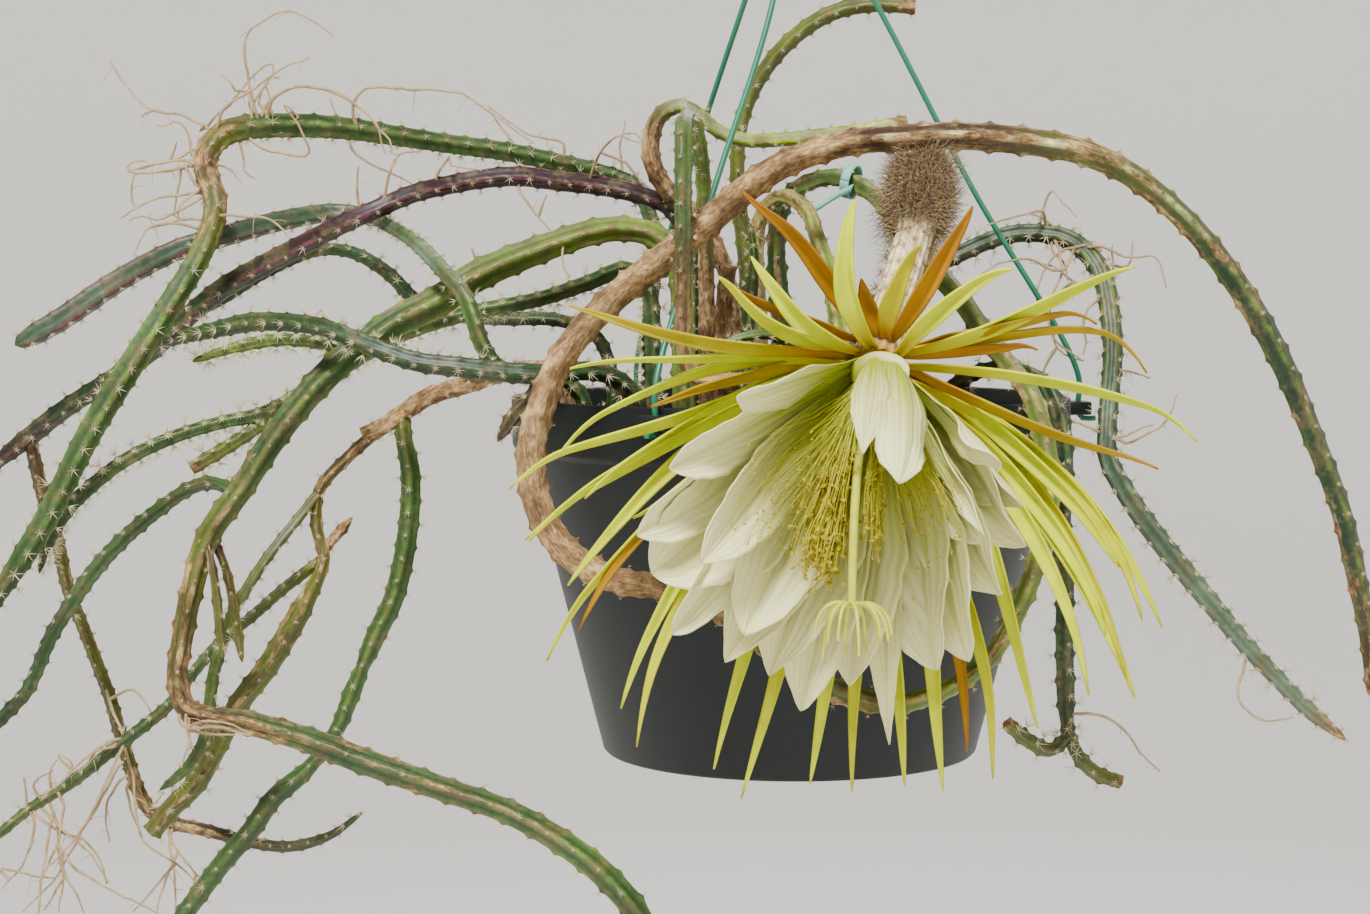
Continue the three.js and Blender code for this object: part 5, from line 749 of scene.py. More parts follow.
def ribbed_stem_tree():
    """Sweeps a ribbed section along stems, lifts the ribs at the areoles and sets spines on each areole."""
    tree, given, result = tree_with_inputs(
        "Ribbed stem",
        {"Ribs": "Int", "Furrow depth": "Float", "Areole lift": "Float", "Spine length": "Float",
         "Spine radius": "Float", "Spines on an areole": "Int", "Uprightness": "Float", "Seed": "Int",
         "Skin": "Material", "Spine material": "Material"},
    )
    spot = add(tree, "GeometryNodeInputPosition")
    girth, ring_number, rib_number, on_ridge, run, spiny = (
        add(tree, "GeometryNodeInputNamedAttribute", {"Name": name})
        for name in ("girth", "ring", "rib", "ridge", "run", "spine")
    )
    centre, face = (
        add(tree, "GeometryNodeInputNamedAttribute", {"Name": name}, data_type="FLOAT_VECTOR")
        for name in ("middle", "face")
    )
    # The section: a ring of points, highest on each rib.
    count = add(tree, "ShaderNodeMath", (given["Ribs"], POINTS_PER_RIB), operation="MULTIPLY")
    section = add(tree, "GeometryNodeCurvePrimitiveCircle", {"Resolution": count, "Radius": 1.0})
    index = add(tree, "GeometryNodeInputIndex")
    angle = add(tree, "ShaderNodeMath", (index, 2 * math.pi / POINTS_PER_RIB), operation="MULTIPLY")
    swing = add(tree, "ShaderNodeMath", (angle,), operation="COSINE")
    ridge = add(tree, "ShaderNodeMath", (swing, 0.5, 0.5), operation="MULTIPLY_ADD")
    rib = index
    for operation, number in (("DIVIDE", POINTS_PER_RIB), ("ADD", 0.5 / POINTS_PER_RIB), ("FLOOR", 0)):
        rib = add(tree, "ShaderNodeMath", (rib, number), operation=operation)
    low = add(tree, "ShaderNodeMath", (1.0, ridge), operation="SUBTRACT")
    low = add(tree, "ShaderNodeMath", (low, given["Furrow depth"]), operation="MULTIPLY")
    reach = add(tree, "ShaderNodeMath", (1.0, low), operation="SUBTRACT")
    pulled = add(tree, "ShaderNodeVectorMath", {0: spot, "Scale": reach}, operation="SCALE")
    # The stem's middle line. What is kept on it and on the section lasts on the swept surface.
    line = add(tree, "GeometryNodeMeshToCurve", {"Mesh": given["Geometry"]})
    place = add(tree, "GeometryNodeSplineParameter").outputs
    for label, kind, value in (
        ("ridge", "FLOAT", ridge), ("rib", "FLOAT", rib), ("face", "FLOAT_VECTOR", spot)
    ):
        section = add(
            tree, "GeometryNodeStoreNamedAttribute", {"Geometry": section, "Name": label, "Value": value},
            data_type=kind,
        )
    for label, kind, value in (
        ("middle", "FLOAT_VECTOR", spot), ("ring", "FLOAT", place["Index"]),
        ("run", "FLOAT", place["Length"]),
    ):
        line = add(
            tree, "GeometryNodeStoreNamedAttribute", {"Geometry": line, "Name": label, "Value": value},
            data_type=kind,
        )
    section = add(tree, "GeometryNodeSetPosition", {"Geometry": section, "Position": pulled})
    stem = add(
        tree, "GeometryNodeCurveToMesh",
        {"Curve": line, "Profile Curve": section, "Scale": girth, "Fill Caps": True},
    )
    # Areoles: every few rings on a rib, and half a step along on the next one.
    phase = add(tree, "ShaderNodeMath", (ring_number, 2 * math.pi / RINGS_PER_AREOLE), operation="MULTIPLY")
    phase = add(tree, "ShaderNodeMath", (rib_number, math.pi, phase), operation="MULTIPLY_ADD")
    crest = phase
    for operation, number in (("COSINE", 0), ("MAXIMUM", 0), ("POWER", 3)):
        crest = add(tree, "ShaderNodeMath", (crest, number), operation=operation)
    sharp = add(tree, "ShaderNodeMath", (on_ridge, 3.0), operation="POWER")
    areole = add(tree, "ShaderNodeMath", (crest, sharp), operation="MULTIPLY")
    # Grain: the stem as if it were straight, so that bark can streak along it.
    round_it = add(tree, "ShaderNodeVectorMath", {0: face, "Scale": girth}, operation="SCALE")
    lengthways = add(tree, "ShaderNodeCombineXYZ", {"Z": run})
    grain = add(tree, "ShaderNodeVectorMath", (round_it, lengthways), operation="ADD")
    for label, kind, value in (("areole", "FLOAT", areole), ("grain", "FLOAT_VECTOR", grain)):
        stem = add(
            tree, "GeometryNodeStoreNamedAttribute", {"Geometry": stem, "Name": label, "Value": value},
            data_type=kind,
        )
    away = add(tree, "ShaderNodeVectorMath", (spot, centre), operation="SUBTRACT")
    away = add(tree, "ShaderNodeVectorMath", (away,), operation="NORMALIZE")
    plump = add(tree, "ShaderNodeMapRange", (girth, 0.001, 0.003))
    lift = add(tree, "ShaderNodeMath", (areole, given["Areole lift"]), operation="MULTIPLY")
    lift = add(tree, "ShaderNodeMath", (lift, plump), operation="MULTIPLY")
    offset = add(tree, "ShaderNodeVectorMath", {0: away, "Scale": lift}, operation="SCALE")
    stem = add(tree, "GeometryNodeSetPosition", {"Geometry": stem, "Offset": offset})
    stem = add(tree, "GeometryNodeSetShadeSmooth", {"Geometry": stem})
    stem = add(tree, "GeometryNodeSetMaterial", {"Geometry": stem, "Material": given["Skin"]})
    # A cluster: one spine straight out and the others round it.
    fan = add(tree, "GeometryNodeMeshCircle", {"Vertices": given["Spines on an areole"], "Radius": 0.06})
    height = add(tree, "ShaderNodeCombineXYZ", {"Z": given["Uprightness"]})
    fan = add(tree, "GeometryNodeSetPosition", {"Geometry": fan, "Offset": height})
    single = add(tree, "GeometryNodeMeshLine", {"Count": 1, "Start Location": (0.0, 0.0, 0.07)})
    feet = add(tree, "GeometryNodeJoinGeometry", {"Geometry": [fan, single]})
    cone = add(tree, "GeometryNodeMeshCone", {"Vertices": 3, "Radius Bottom": 1.0, "Depth": 1.0})
    pointing = add(tree, "FunctionNodeAlignRotationToVector", {"Vector": spot}, axis="Z")
    length, spin, chance = (
        add(tree, "FunctionNodeRandomValue", {2: least, 3: most, "Seed": given["Seed"]})
        for least, most in ((0.55, 1.1), (0.0, 2 * math.pi), (0.5, 1.0))
    )
    slim = add(tree, "ShaderNodeCombineXYZ", (given["Spine radius"], given["Spine radius"], length))
    cluster = add(
        tree, "GeometryNodeInstanceOnPoints",
        {"Points": feet, "Instance": cone, "Rotation": pointing, "Scale": slim},
    )
    cluster = add(tree, "GeometryNodeRealizeInstances", {"Geometry": cluster})
    # Clusters stand on the areoles, each turned and sized by chance.
    chosen = add(tree, "FunctionNodeCompare", (areole, 0.9), operation="GREATER_THAN")
    upright = add(tree, "FunctionNodeAlignRotationToVector", {"Vector": away}, axis="Z")
    spun = add(tree, "FunctionNodeAxisAngleToRotation", {"Axis": (0.0, 0.0, 1.0), "Angle": spin})
    turned = add(tree, "FunctionNodeRotateRotation", (upright, spun), rotation_space="LOCAL")
    size = add(tree, "ShaderNodeMath", (chance, given["Spine length"]), operation="MULTIPLY")
    size = add(tree, "ShaderNodeMath", (size, spiny), operation="MULTIPLY")
    spines = add(
        tree, "GeometryNodeInstanceOnPoints",
        {"Points": stem, "Selection": chosen, "Instance": cluster, "Rotation": turned, "Scale": size},
    )
    spines = add(tree, "GeometryNodeRealizeInstances", {"Geometry": spines})
    spines = add(tree, "GeometryNodeSetMaterial", {"Geometry": spines, "Material": given["Spine material"]})
    feed(tree, result, {0: add(tree, "GeometryNodeJoinGeometry", {"Geometry": [spines, stem]})})
    return tree


def thread_tree():
    """Thickens threads to their girth, with a little wander, and sets a small bead on the tips if asked."""
    tree, given, result = tree_with_inputs(
        "Threads",
        {"Sides": "Int", "Wander": "Float", "Wander size": "Float", "Bead size": "Float", "Seed": "Int",
         "Material": "Material", "Bead material": "Material"},
    )
    line = add(tree, "GeometryNodeMeshToCurve", {"Mesh": given["Geometry"]})
    # A thread wanders ever more freely over the first 12 mm from its foot.
    run = add(tree, "GeometryNodeSplineParameter").outputs["Length"]
    free = add(tree, "ShaderNodeMapRange", (run, 0.0, 0.012, 0.0, 2.0))
    amount = add(tree, "ShaderNodeMath", (given["Wander"], free), operation="MULTIPLY")
    spot = add(tree, "GeometryNodeInputPosition")
    pattern = add(tree, "ShaderNodeMath", (1.0, given["Wander size"]), operation="DIVIDE")
    noise = add(
        tree, "ShaderNodeTexNoise", {"Vector": spot, "Scale": pattern, "Detail": 2.0, "W": given["Seed"]},
        noise_dimensions="4D",
    ).outputs["Color"]
    drift = add(tree, "ShaderNodeVectorMath", (noise, (0.5, 0.5, 0.5)), operation="SUBTRACT")
    shift = add(tree, "ShaderNodeVectorMath", {0: drift, "Scale": amount}, operation="SCALE")
    line = add(tree, "GeometryNodeSetPosition", {"Geometry": line, "Offset": shift})
    ring = add(tree, "GeometryNodeCurvePrimitiveCircle", {"Resolution": given["Sides"], "Radius": 1.0})
    girth = add(tree, "GeometryNodeInputNamedAttribute", {"Name": "girth"})
    thread = add(
        tree, "GeometryNodeCurveToMesh",
        {"Curve": line, "Profile Curve": ring, "Scale": girth, "Fill Caps": True},
    )
    thread = add(tree, "GeometryNodeSetShadeSmooth", {"Geometry": thread})
    thread = add(tree, "GeometryNodeSetMaterial", {"Geometry": thread, "Material": given["Material"]})
    tips = add(tree, "GeometryNodeCurveEndpointSelection", {"Start Size": 0, "End Size": 1})
    bead = add(tree, "GeometryNodeMeshIcoSphere", {"Radius": 1.0, "Subdivisions": 1})
    way = add(
        tree, "FunctionNodeRandomValue", ((-1.0, -1.0, -1.0), (1.0, 1.0, 1.0)), data_type="FLOAT_VECTOR"
    )
    leaning = add(tree, "FunctionNodeAlignRotationToVector", {"Vector": way}, axis="Z")
    plump = add(tree, "ShaderNodeMath", (girth, given["Bead size"]), operation="MULTIPLY")
    plump = add(tree, "ShaderNodeVectorMath", {0: (1.0, 0.8, 2.4), "Scale": plump}, operation="SCALE")
    beads = add(
        tree, "GeometryNodeInstanceOnPoints",
        {"Points": line, "Selection": tips, "Instance": bead, "Rotation": leaning, "Scale": plump},
    )
    beads = add(tree, "GeometryNodeRealizeInstances", {"Geometry": beads})
    beads = add(tree, "GeometryNodeSetMaterial", {"Geometry": beads, "Material": given["Bead material"]})
    wanted = add(tree, "FunctionNodeCompare", (given["Bead size"], 0.0), operation="GREATER_THAN")
    shown = add(tree, "GeometryNodeSwitch", {"Switch": wanted, "True": beads}, input_type="GEOMETRY")
    feed(tree, result, {0: add(tree, "GeometryNodeJoinGeometry", {"Geometry": [thread, shown]})})
    return tree


def crumb_tree():
    """Strews rough crumbs over a disc of soil."""
    tree, given, result = tree_with_inputs(
        "Soil crumbs", {"Density": "Float", "Crumb radius": "Float", "Material": "Material"}
    )
    strewn = add(
        tree, "GeometryNodeDistributePointsOnFaces",
        {"Mesh": given["Geometry"], "Density": given["Density"], "Seed": 4},
    )
    ball = add(tree, "GeometryNodeMeshIcoSphere", {"Radius": 1.0, "Subdivisions": 1})
    stretch, way = (
        add(tree, "FunctionNodeRandomValue", limits, data_type="FLOAT_VECTOR")
        for limits in (((0.4, 0.4, 0.3), (1.6, 1.2, 0.8)), ((0.0, 0.0, 0.0), (0.5, 0.5, 6.28)))
    )
    size = add(tree, "ShaderNodeVectorMath", {0: stretch, "Scale": given["Crumb radius"]}, operation="SCALE")
    turned = add(tree, "FunctionNodeEulerToRotation", (way,))
    crumbs = add(
        tree, "GeometryNodeInstanceOnPoints",
        {"Points": strewn, "Instance": ball, "Rotation": turned, "Scale": size},
    )
    crumbs = add(tree, "GeometryNodeRealizeInstances", {"Geometry": crumbs})
    crumbs = add(tree, "GeometryNodeSetMaterial", {"Geometry": crumbs, "Material": given["Material"]})
    feed(tree, result, (crumbs,))
    return tree


# Materials


def finish(name, roughness, **constants):
    """A new material, its node tree and its Principled shader, with what is even all over set on it."""
    material = bpy.data.materials.new(name)
    material.use_nodes = True
    shader = material.node_tree.nodes["Principled BSDF"]
    shader.inputs["Roughness"].default_value = roughness
    for key, value in constants.items():
        shader.inputs[key.replace("_", " ")].default_value = value
    return material, material.node_tree, shader


def colour_of(name, share=1.0):
    """One of the sidebar's tones, or a share of it for a darker one."""
    return (*(share * channel for channel in getattr(bpy.context.scene.cactus_tones, name)), 1.0)


def cactus_skin():
    """Living cactus skin: waxy, finely mottled, with paler rib edges, and rough cork where it has aged."""
    material, tree, shader = finish(
        "Waxy cactus skin and cork", 0.48, Specular_IOR_Level=0.28, Subsurface_Weight=0.08,
        Subsurface_Scale=1.0, Subsurface_Radius=(0.002, 0.003, 0.001),
    )
    spot = add(tree, "ShaderNodeTexCoord").outputs["Object"]
    skin, rim, cork, ridge, areole, grain = (
        add(tree, "ShaderNodeAttribute", attribute_name=name).outputs[output]
        for name, output in (
            ("skin", "Color"), ("rim", "Color"), ("cork", "Fac"), ("ridge", "Fac"), ("areole", "Fac"),
            ("grain", "Vector"),
        )
    )
    lengthened, streaked = (
        add(tree, "ShaderNodeMapping", {"Vector": grain, "Scale": (1.0, 1.0, share)})
        for share in (0.35, 0.3)
    )
    # Patterns over sizes in millimetres.
    slow, mottle, broken, aged, patch, streak, grit = (
        add(
            tree, "ShaderNodeTexNoise",
            {"Vector": place, "Scale": 1 / (size * MM), "Detail": detail, "Roughness": rough},
        )
        for place, size, detail, rough in (
            (spot, 26.316, 4.0, 0.5), (spot, 2.6316, 5.0, 0.75), (spot, 9.0909, 5.0, 0.6),
            (spot, 10.526, 6.0, 0.65), (lengthened, 6.6667, 4.0, 0.6), (streaked, 3.3333, 5.0, 0.65),
            (lengthened, 1, 3.0, 0.5),
        )
    )
    # Mottling a few millimetres across, over slow changes a few centimetres long, and painted shade that
    # darkens the furrows.
    shade = add(tree, "ShaderNodeMapRange", (slow, 0.3, 0.7, 0.62, 1.3))
    fleck = add(tree, "ShaderNodeMapRange", (mottle, 0.3, 0.7, 0.6, 1.36))
    # Painted shade: the furrows, lowest between the ribs, are darkened to 0.68 of the skin's tone.
    furrow = add(tree, "ShaderNodeMapRange", (ridge, 0.0, 0.5, 0.68, 1.0))
    value = add(tree, "ShaderNodeMath", (shade, fleck), operation="MULTIPLY")
    value = add(tree, "ShaderNodeMath", (value, furrow), operation="MULTIPLY")
    # Rib edges take their own tone, more in some places than in others.
    edge = add(tree, "ShaderNodeMapRange", (ridge, 0.5, 1.0))
    uneven = add(tree, "ShaderNodeMapRange", (broken, 0.42, 0.58, 0.12, 1.0))
    edge = add(tree, "ShaderNodeMath", (edge, uneven), operation="MULTIPLY")
    living = add(tree, "ShaderNodeMix", {0: edge, 6: skin, 7: rim}, data_type="RGBA")
    # Brown blotches about a centimetre across, where the skin has aged.
    aged = add(tree, "ShaderNodeMapRange", (aged, 0.5, 0.6, 0.0, 0.6))
    living = add(tree, "ShaderNodeMix", {0: aged, 6: living, 7: colour_of("blotch")}, data_type="RGBA")
    living = add(tree, "ShaderNodeHueSaturation", {"Color": living, "Value": value})
    # Cork grows in patches with ragged rims, first along the ribs.
    amount = add(tree, "ShaderNodeMath", (cork, 0.6, patch), operation="MULTIPLY_ADD")
    amount = add(tree, "ShaderNodeMath", (ridge, 0.1, amount), operation="MULTIPLY_ADD")
    covered = add(tree, "ShaderNodeMapRange", (amount, 0.81, 0.87))
    # Bark is blotched a few millimetres across, streaked along the stem and gritty.
    relief = 0.0
    for pattern, share in ((grit, 0.3), (streak, 0.22), (broken, 0.48)):
        relief = add(tree, "ShaderNodeMath", (pattern, share, relief), operation="MULTIPLY_ADD")
    bark = add(tree, "ShaderNodeValToRGB", {"Fac": relief})
    ramp = bark.color_ramp.elements
    ramp.new(0.5)
    for stop, place, name in zip(ramp, (0.42, 0.5, 0.6), ("bark", "cork", "cork_light")):
        stop.position, stop.color = place, colour_of(name)
    bark = add(tree, "ShaderNodeHueSaturation", {"Color": bark, "Value": shade})
    bark = add(tree, "ShaderNodeMix", {0: 0.22, 6: bark, 7: skin}, data_type="RGBA")
    body = add(tree, "ShaderNodeMix", {0: covered, 6: living, 7: bark}, data_type="RGBA")
    # The areoles' felt is tan on some stretches and has weathered to dark brown on others.
    weathered = add(tree, "ShaderNodeMapRange", (slow, 0.44, 0.56))
    felt = {0: weathered, 6: colour_of("bark"), 7: colour_of("cork_light")}
    felt = add(tree, "ShaderNodeMix", felt, data_type="RGBA")
    on_areole = add(tree, "ShaderNodeMapRange", (areole, 0.55, 0.9, 0.0, 0.85))
    body = add(tree, "ShaderNodeMix", {0: on_areole, 6: body, 7: felt}, data_type="RGBA")
    rough = add(tree, "ShaderNodeMapRange", (covered, 0.0, 1.0, 0.42, 0.9))
    height = add(tree, "ShaderNodeMath", (covered, relief), operation="MULTIPLY")
    height = add(tree, "ShaderNodeMath", (mottle, 0.15, height), operation="MULTIPLY_ADD")
    bump = add(tree, "ShaderNodeBump", {"Height": height, "Distance": 0.0005, "Strength": 0.7})
    feed(tree, shader, {"Base Color": body, "Roughness": rough, "Normal": bump})
    return material


def mottled(name, low, high, roughness, millimetres, bump=0.0, **constants):
    """A dull natural finish between two of the sidebar's tones or shares of them, patterned over a size."""
    material, tree, shader = finish(name, roughness, **constants)
    spot = add(tree, "ShaderNodeTexCoord").outputs["Object"]
    noise = add(tree, "ShaderNodeTexNoise", {"Vector": spot, "Scale": 1 / (millimetres * MM), "Detail": 4.0})
    ramp = add(tree, "ShaderNodeValToRGB", {"Fac": noise})
    for stop, place, tones in zip(ramp.color_ramp.elements, (0.35, 0.65), (low, high)):
        stop.position, stop.color = place, colour_of(*tones)
    feed(tree, shader, {"Base Color": ramp})
    if bump:
        relief = add(tree, "ShaderNodeBump", {"Height": noise, "Distance": bump})
        feed(tree, shader, {"Normal": relief})
    return material


def petal_tissue():
    """Silky petal tissue: white, yellow-green at the foot and on broad soft veins, with light through it.
    The foot's dark olive tint is partly painted shade inside the cup.
    """
    material, tree, shader = finish(
        "Silky white petal", 0.5, Specular_IOR_Level=0.3, Subsurface_Weight=0.15, Subsurface_Scale=1.0,
        Subsurface_Radius=(0.004, 0.004, 0.003),
    )
    spot = add(tree, "ShaderNodeTexCoord").outputs["Object"]
    lengthways, across = (
        add(tree, "ShaderNodeAttribute", attribute_name=name).outputs["Fac"] for name in ("along", "across")
    )
    # Veins: about nine across a petal, 3 to 4 mm apart, wandering a little.
    wobble = add(tree, "ShaderNodeTexNoise", {"Vector": spot, "Scale": 1 / (16.667 * MM), "Detail": 2.0})
    vein = add(tree, "ShaderNodeMath", (across, 28.0), operation="MULTIPLY")
    vein = add(tree, "ShaderNodeMath", (wobble, 4.0, vein), operation="MULTIPLY_ADD")
    vein = add(tree, "ShaderNodeMath", (vein,), operation="SINE")
    faint = add(tree, "ShaderNodeMapRange", (vein, -0.6, 1.0, 0.0, 0.16))
    # The foot's own yellow-green, darkened and spread far up the petal as painted shade inside the cup.
    foot = add(
        tree, "ShaderNodeMapRange", (lengthways, 0.0, 0.95, 1.0, 0.05), interpolation_type="SMOOTHSTEP"
    )
    middle = add(tree, "ShaderNodeMath", (across,), operation="ABSOLUTE")
    middle = add(tree, "ShaderNodeMapRange", (middle, 0.0, 0.3, 0.2, 0.0))
    blend = add(tree, "ShaderNodeMath", (faint, foot), operation="ADD")
    blend = add(tree, "ShaderNodeMath", (blend, middle), operation="ADD", use_clamp=True)
    tones = {0: blend, 6: colour_of("petal"), 7: colour_of("petal_foot_and_shade")}
    colour = add(tree, "ShaderNodeMix", tones, data_type="RGBA")
    bump = add(tree, "ShaderNodeBump", {"Height": vein, "Distance": 0.0002, "Strength": 0.5})
    feed(tree, shader, {"Base Color": colour, "Normal": bump})
    return material


def sepal_tissue():
    """Waxy outer tepals: vivid lime with orange-brown ones among them, darker towards the tips."""
    material, tree, shader = finish(
        "Waxy outer tepal", 0.6, Specular_IOR_Level=0.12, Subsurface_Weight=0.05, Subsurface_Scale=1.0,
        Subsurface_Radius=(0.003, 0.003, 0.001),
    )
    spot = add(tree, "ShaderNodeTexCoord").outputs["Object"]
    lengthways, brown, across = (
        add(tree, "ShaderNodeAttribute", attribute_name=name).outputs["Fac"]
        for name in ("along", "brown", "across")
    )
    foot = add(tree, "ShaderNodeMapRange", (lengthways, 0.0, 0.34, 0.85, 0.0))
    amber = add(tree, "ShaderNodeMath", (brown, foot), operation="ADD", use_clamp=True)
    tones = {0: amber, 6: colour_of("sepal"), 7: colour_of("sepal_outer")}
    body = add(tree, "ShaderNodeMix", tones, data_type="RGBA")
    # Brown creeps up from the tips and in from the margins, far more on the outer ones.
    browned = add(tree, "ShaderNodeMath", (brown, 0.6, 0.05), operation="MULTIPLY_ADD")
    reach = add(tree, "ShaderNodeMapRange", (lengthways, 0.4, 1.0))
    worn = add(tree, "ShaderNodeMath", (reach, browned), operation="MULTIPLY")
    margin = add(tree, "ShaderNodeMath", (across,), operation="ABSOLUTE")
    margin = add(tree, "ShaderNodeMapRange", (margin, 0.6, 1.0, 0.0, 0.35))
    margin = add(tree, "ShaderNodeMath", (margin, brown), operation="MULTIPLY")
    worn = add(tree, "ShaderNodeMath", (worn, margin), operation="ADD", use_clamp=True)
    colour = add(tree, "ShaderNodeMix", {0: worn, 6: body, 7: colour_of("sepal_tip")}, data_type="RGBA")
    noise = add(tree, "ShaderNodeTexNoise", {"Vector": spot, "Scale": 1 / (11.111 * MM), "Detail": 3.0})
    shade = add(tree, "ShaderNodeMapRange", (noise, 0.3, 0.7, 0.85, 1.1))
    colour = add(tree, "ShaderNodeHueSaturation", {"Color": colour, "Value": shade})
    feed(tree, shader, {"Base Color": colour})
    return material


def filament_silk():
    """Silky filaments: green-yellow where they leave the throat and golden towards the anthers."""
    material, tree, shader = finish("Silky filament", 0.45)
    lengthways = add(tree, "ShaderNodeAttribute", attribute_name="along").outputs["Fac"]
    golden = add(tree, "ShaderNodeMapRange", (lengthways, 0.1, 0.9))
    tones = {0: golden, 6: colour_of("style"), 7: colour_of("filament")}
    feed(tree, shader, {"Base Color": add(tree, "ShaderNodeMix", tones, data_type="RGBA")})
    return material


# Pieces


def cane_strand(cane, step):
    """One stem's line with its girth, skin colours and cork, rounded off at a living tip."""
    route = cane["route"]
    if "root" in cane:
        route = [(*cane["root"], depth) for depth in ROOT_DEPTHS] + route
    path, share, length = smooth_path(route, step)
    girth = along(cane["girth"], share)
    from_tip = (1 - share) * length
    if not cane.get("cut"):
        rounding = np.clip(from_tip / (1.6 * girth[-1] + 3), 0, 1)
        girth = girth * np.sqrt(1 - (1 - rounding) ** 2)
    # It swells and shrinks a little along the way.
    swell = 1 + 0.05 * np.sin(share * length / 23 + 5 * path[0][0]) * np.clip(from_tip / 20, 0, 1)
    layers = skin_along(cane["skin"], share)
    # Spines are longest near the tip, and short where the skin has turned to cork.
    spine = np.clip(1.15 - 0.9 * layers["cork"] + 0.5 * np.exp(-from_tip / 25), 0.25, 1.6)
    return {"path": placed(path), "girth": np.maximum(girth * swell, 0.15) * MM, **layers, "spine": spine}


def root_strands(roots, radius, random):
    """Air roots, each with a few short rootlets that droop."""
    strands = []
    for route in roots:
        path, share, length = smooth_path(route, 3)
        strands.append({"path": placed(path), "girth": radius * (1.15 - 0.6 * share)})
        for _ in range(int(length / ROOTLET_SPACING)):
            at = random.integers(2, len(path) - 1)
            way = unit(random.normal(size=3))
            reach = random.uniform(3, 9)
            steps = np.linspace(0, 1, 4)[:, None]
            rootlet = path[at] + steps * reach * way + steps**2 * reach * np.array([0, 0, -0.35])
            strands.append({"path": placed(rootlet), "girth": 0.28 * radius * (1.1 - 0.7 * steps[:, 0])})
    return strands


def keep(piece, node):
    """Puts a finished piece in place of its CAD node, which it hides, and hangs the piece on the root body.
    """
    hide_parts(node)
    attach(piece, "root")


def joined(name, pieces):
    """One object from several."""
    with bpy.context.temp_override(active_object=pieces[0], selected_editable_objects=pieces):
        bpy.ops.object.join()
    pieces[0].name = name
    pieces[0].data.name = name
    return pieces[0]


class CACTUS_OT_stems(bpy.types.Operator):
    """Grow the ribbed stems with their spines and air roots"""

    bl_idname = "cactus.stems"
    bl_label = "Stems"

    def execute(self, context):
        sizes = context.scene.cactus_sizes
        random = np.random.default_rng(8)
        stem_tree, root_tree = ribbed_stem_tree(), thread_tree()
        skin = cactus_skin()
        # Spines are dry and horny, the hairs white and soft, and air roots dry and papery.
        spine = mottled("Dry spine", ("spine", 0.7), ("spine",), 0.6, 2)
        hair = mottled("White areole hair", ("spine",), ("cream",), 0.7, 2)
        root = mottled("Dry air root", ("root", 0.6), ("root",), 0.75, 6)
        for order, (node, habit) in enumerate(HABIT.items()):
            ribs, pitch, lift, spine_length, hairiness, furrow = habit
            strands = [cane_strand(cane, pitch / RINGS_PER_AREOLE) for cane in CANES if cane["node"] == node]
            piece = grown(node + "_grown", strands_mesh(strands), stem_tree, {
                "Ribs": ribs, "Furrow depth": sizes.furrow * furrow, "Areole lift": lift * MM,
                "Spine length": spine_length * sizes.spine * MM * (1 + 0.4 * hairiness),
                "Spine radius": 0.045 - 0.02 * hairiness, "Spines on an areole": 6 + round(5 * hairiness),
                "Uprightness": 0.07, "Seed": order, "Skin": skin,
                "Spine material": hair if hairiness > 0.5 else spine,
            })
            if node in AIR_ROOTS:
                threads = strands_mesh(root_strands(AIR_ROOTS[node], sizes.root, random))
                roots = grown(node + "_roots", threads, root_tree, {
                    "Sides": 5, "Wander": 0.0022, "Wander size": 0.014, "Seed": order, "Material": root
                })
                piece = joined(node + "_grown", [piece, roots])
            keep(piece, node)
        return {"FINISHED"}


def bloom_side(reach):
    """The direction square to the way the bloom looks, towards a tip."""
    return unit(reach - FACING * reach.dot(FACING))


def bloom_angle(entry):
    """How far round the bloom an entry that starts with its reach stands, to sort neighbours by."""
    up = bloom_side(np.array([0.0, 0.0, 1.0]))
    out = bloom_side(entry[0])
    return math.atan2(out.dot(np.cross(FACING, up)), out.dot(up))


def bezier(points, steps):
    """Points on the cubic curve of four control points."""
    t = np.linspace(0, 1, steps)[:, None]
    a, b, c, d = (np.asarray(point, float) for point in points)
    return a * (1 - t) ** 3 + 3 * b * t * (1 - t) ** 2 + 3 * c * t**2 * (1 - t) + d * t**3


def blade_grid(line, inside, half_width, lift, turn, columns):
    """Rows of points across a blade that follows a line, with its hollow side towards inside and its tip
    turned on the foot. half_width and lift say how wide it is and how far its surface stands off the line,
    from the share of the length and from the place across, -1 to 1."""
    tangents = unit(np.gradient(line, axis=0))
    normals = unit(inside - tangents * (tangents @ inside)[:, None])
    sides = np.cross(tangents, normals)
    share = np.linspace(0, 1, len(line))[:, None]
    turns = turn * share
    normals, sides = (
        normals * np.cos(turns) + sides * np.sin(turns),
        sides * np.cos(turns) - normals * np.sin(turns),
    )
    across = np.linspace(-1, 1, columns)[None, :]
    half = half_width(share)
    wide = (half * across)[..., None] * sides[:, None, :]
    high = (half * lift(share, across))[..., None] * normals[:, None, :]
    return line[:, None, :] + wide + high


def blades_piece(name, grids, browns, thickness, material):
    """One mesh of thin blades with a true thickness, which keeps places along and across for its finish."""
    points, faces, layers = [], [], []
    for grid, brown in zip(grids, browns):
        rows, columns, _ = grid.shape
        faces += grid_faces(rows, columns, sum(len(chunk) for chunk in points))
        points.append(grid.reshape(-1, 3))
        lengthways = np.repeat(np.linspace(0, 1, rows), columns)
        across = np.tile(np.linspace(-1, 1, columns), rows)
        layers.append((lengthways, across, np.full(rows * columns, float(brown))))
    piece = smooth_piece(name, placed(np.vstack(points)).tolist(), faces, material)
    for label, values in zip(("along", "across", "brown"), zip(*layers)):
        keep_layer(piece.data, label, np.concatenate(values))
    thickened(piece, thickness)
    return piece


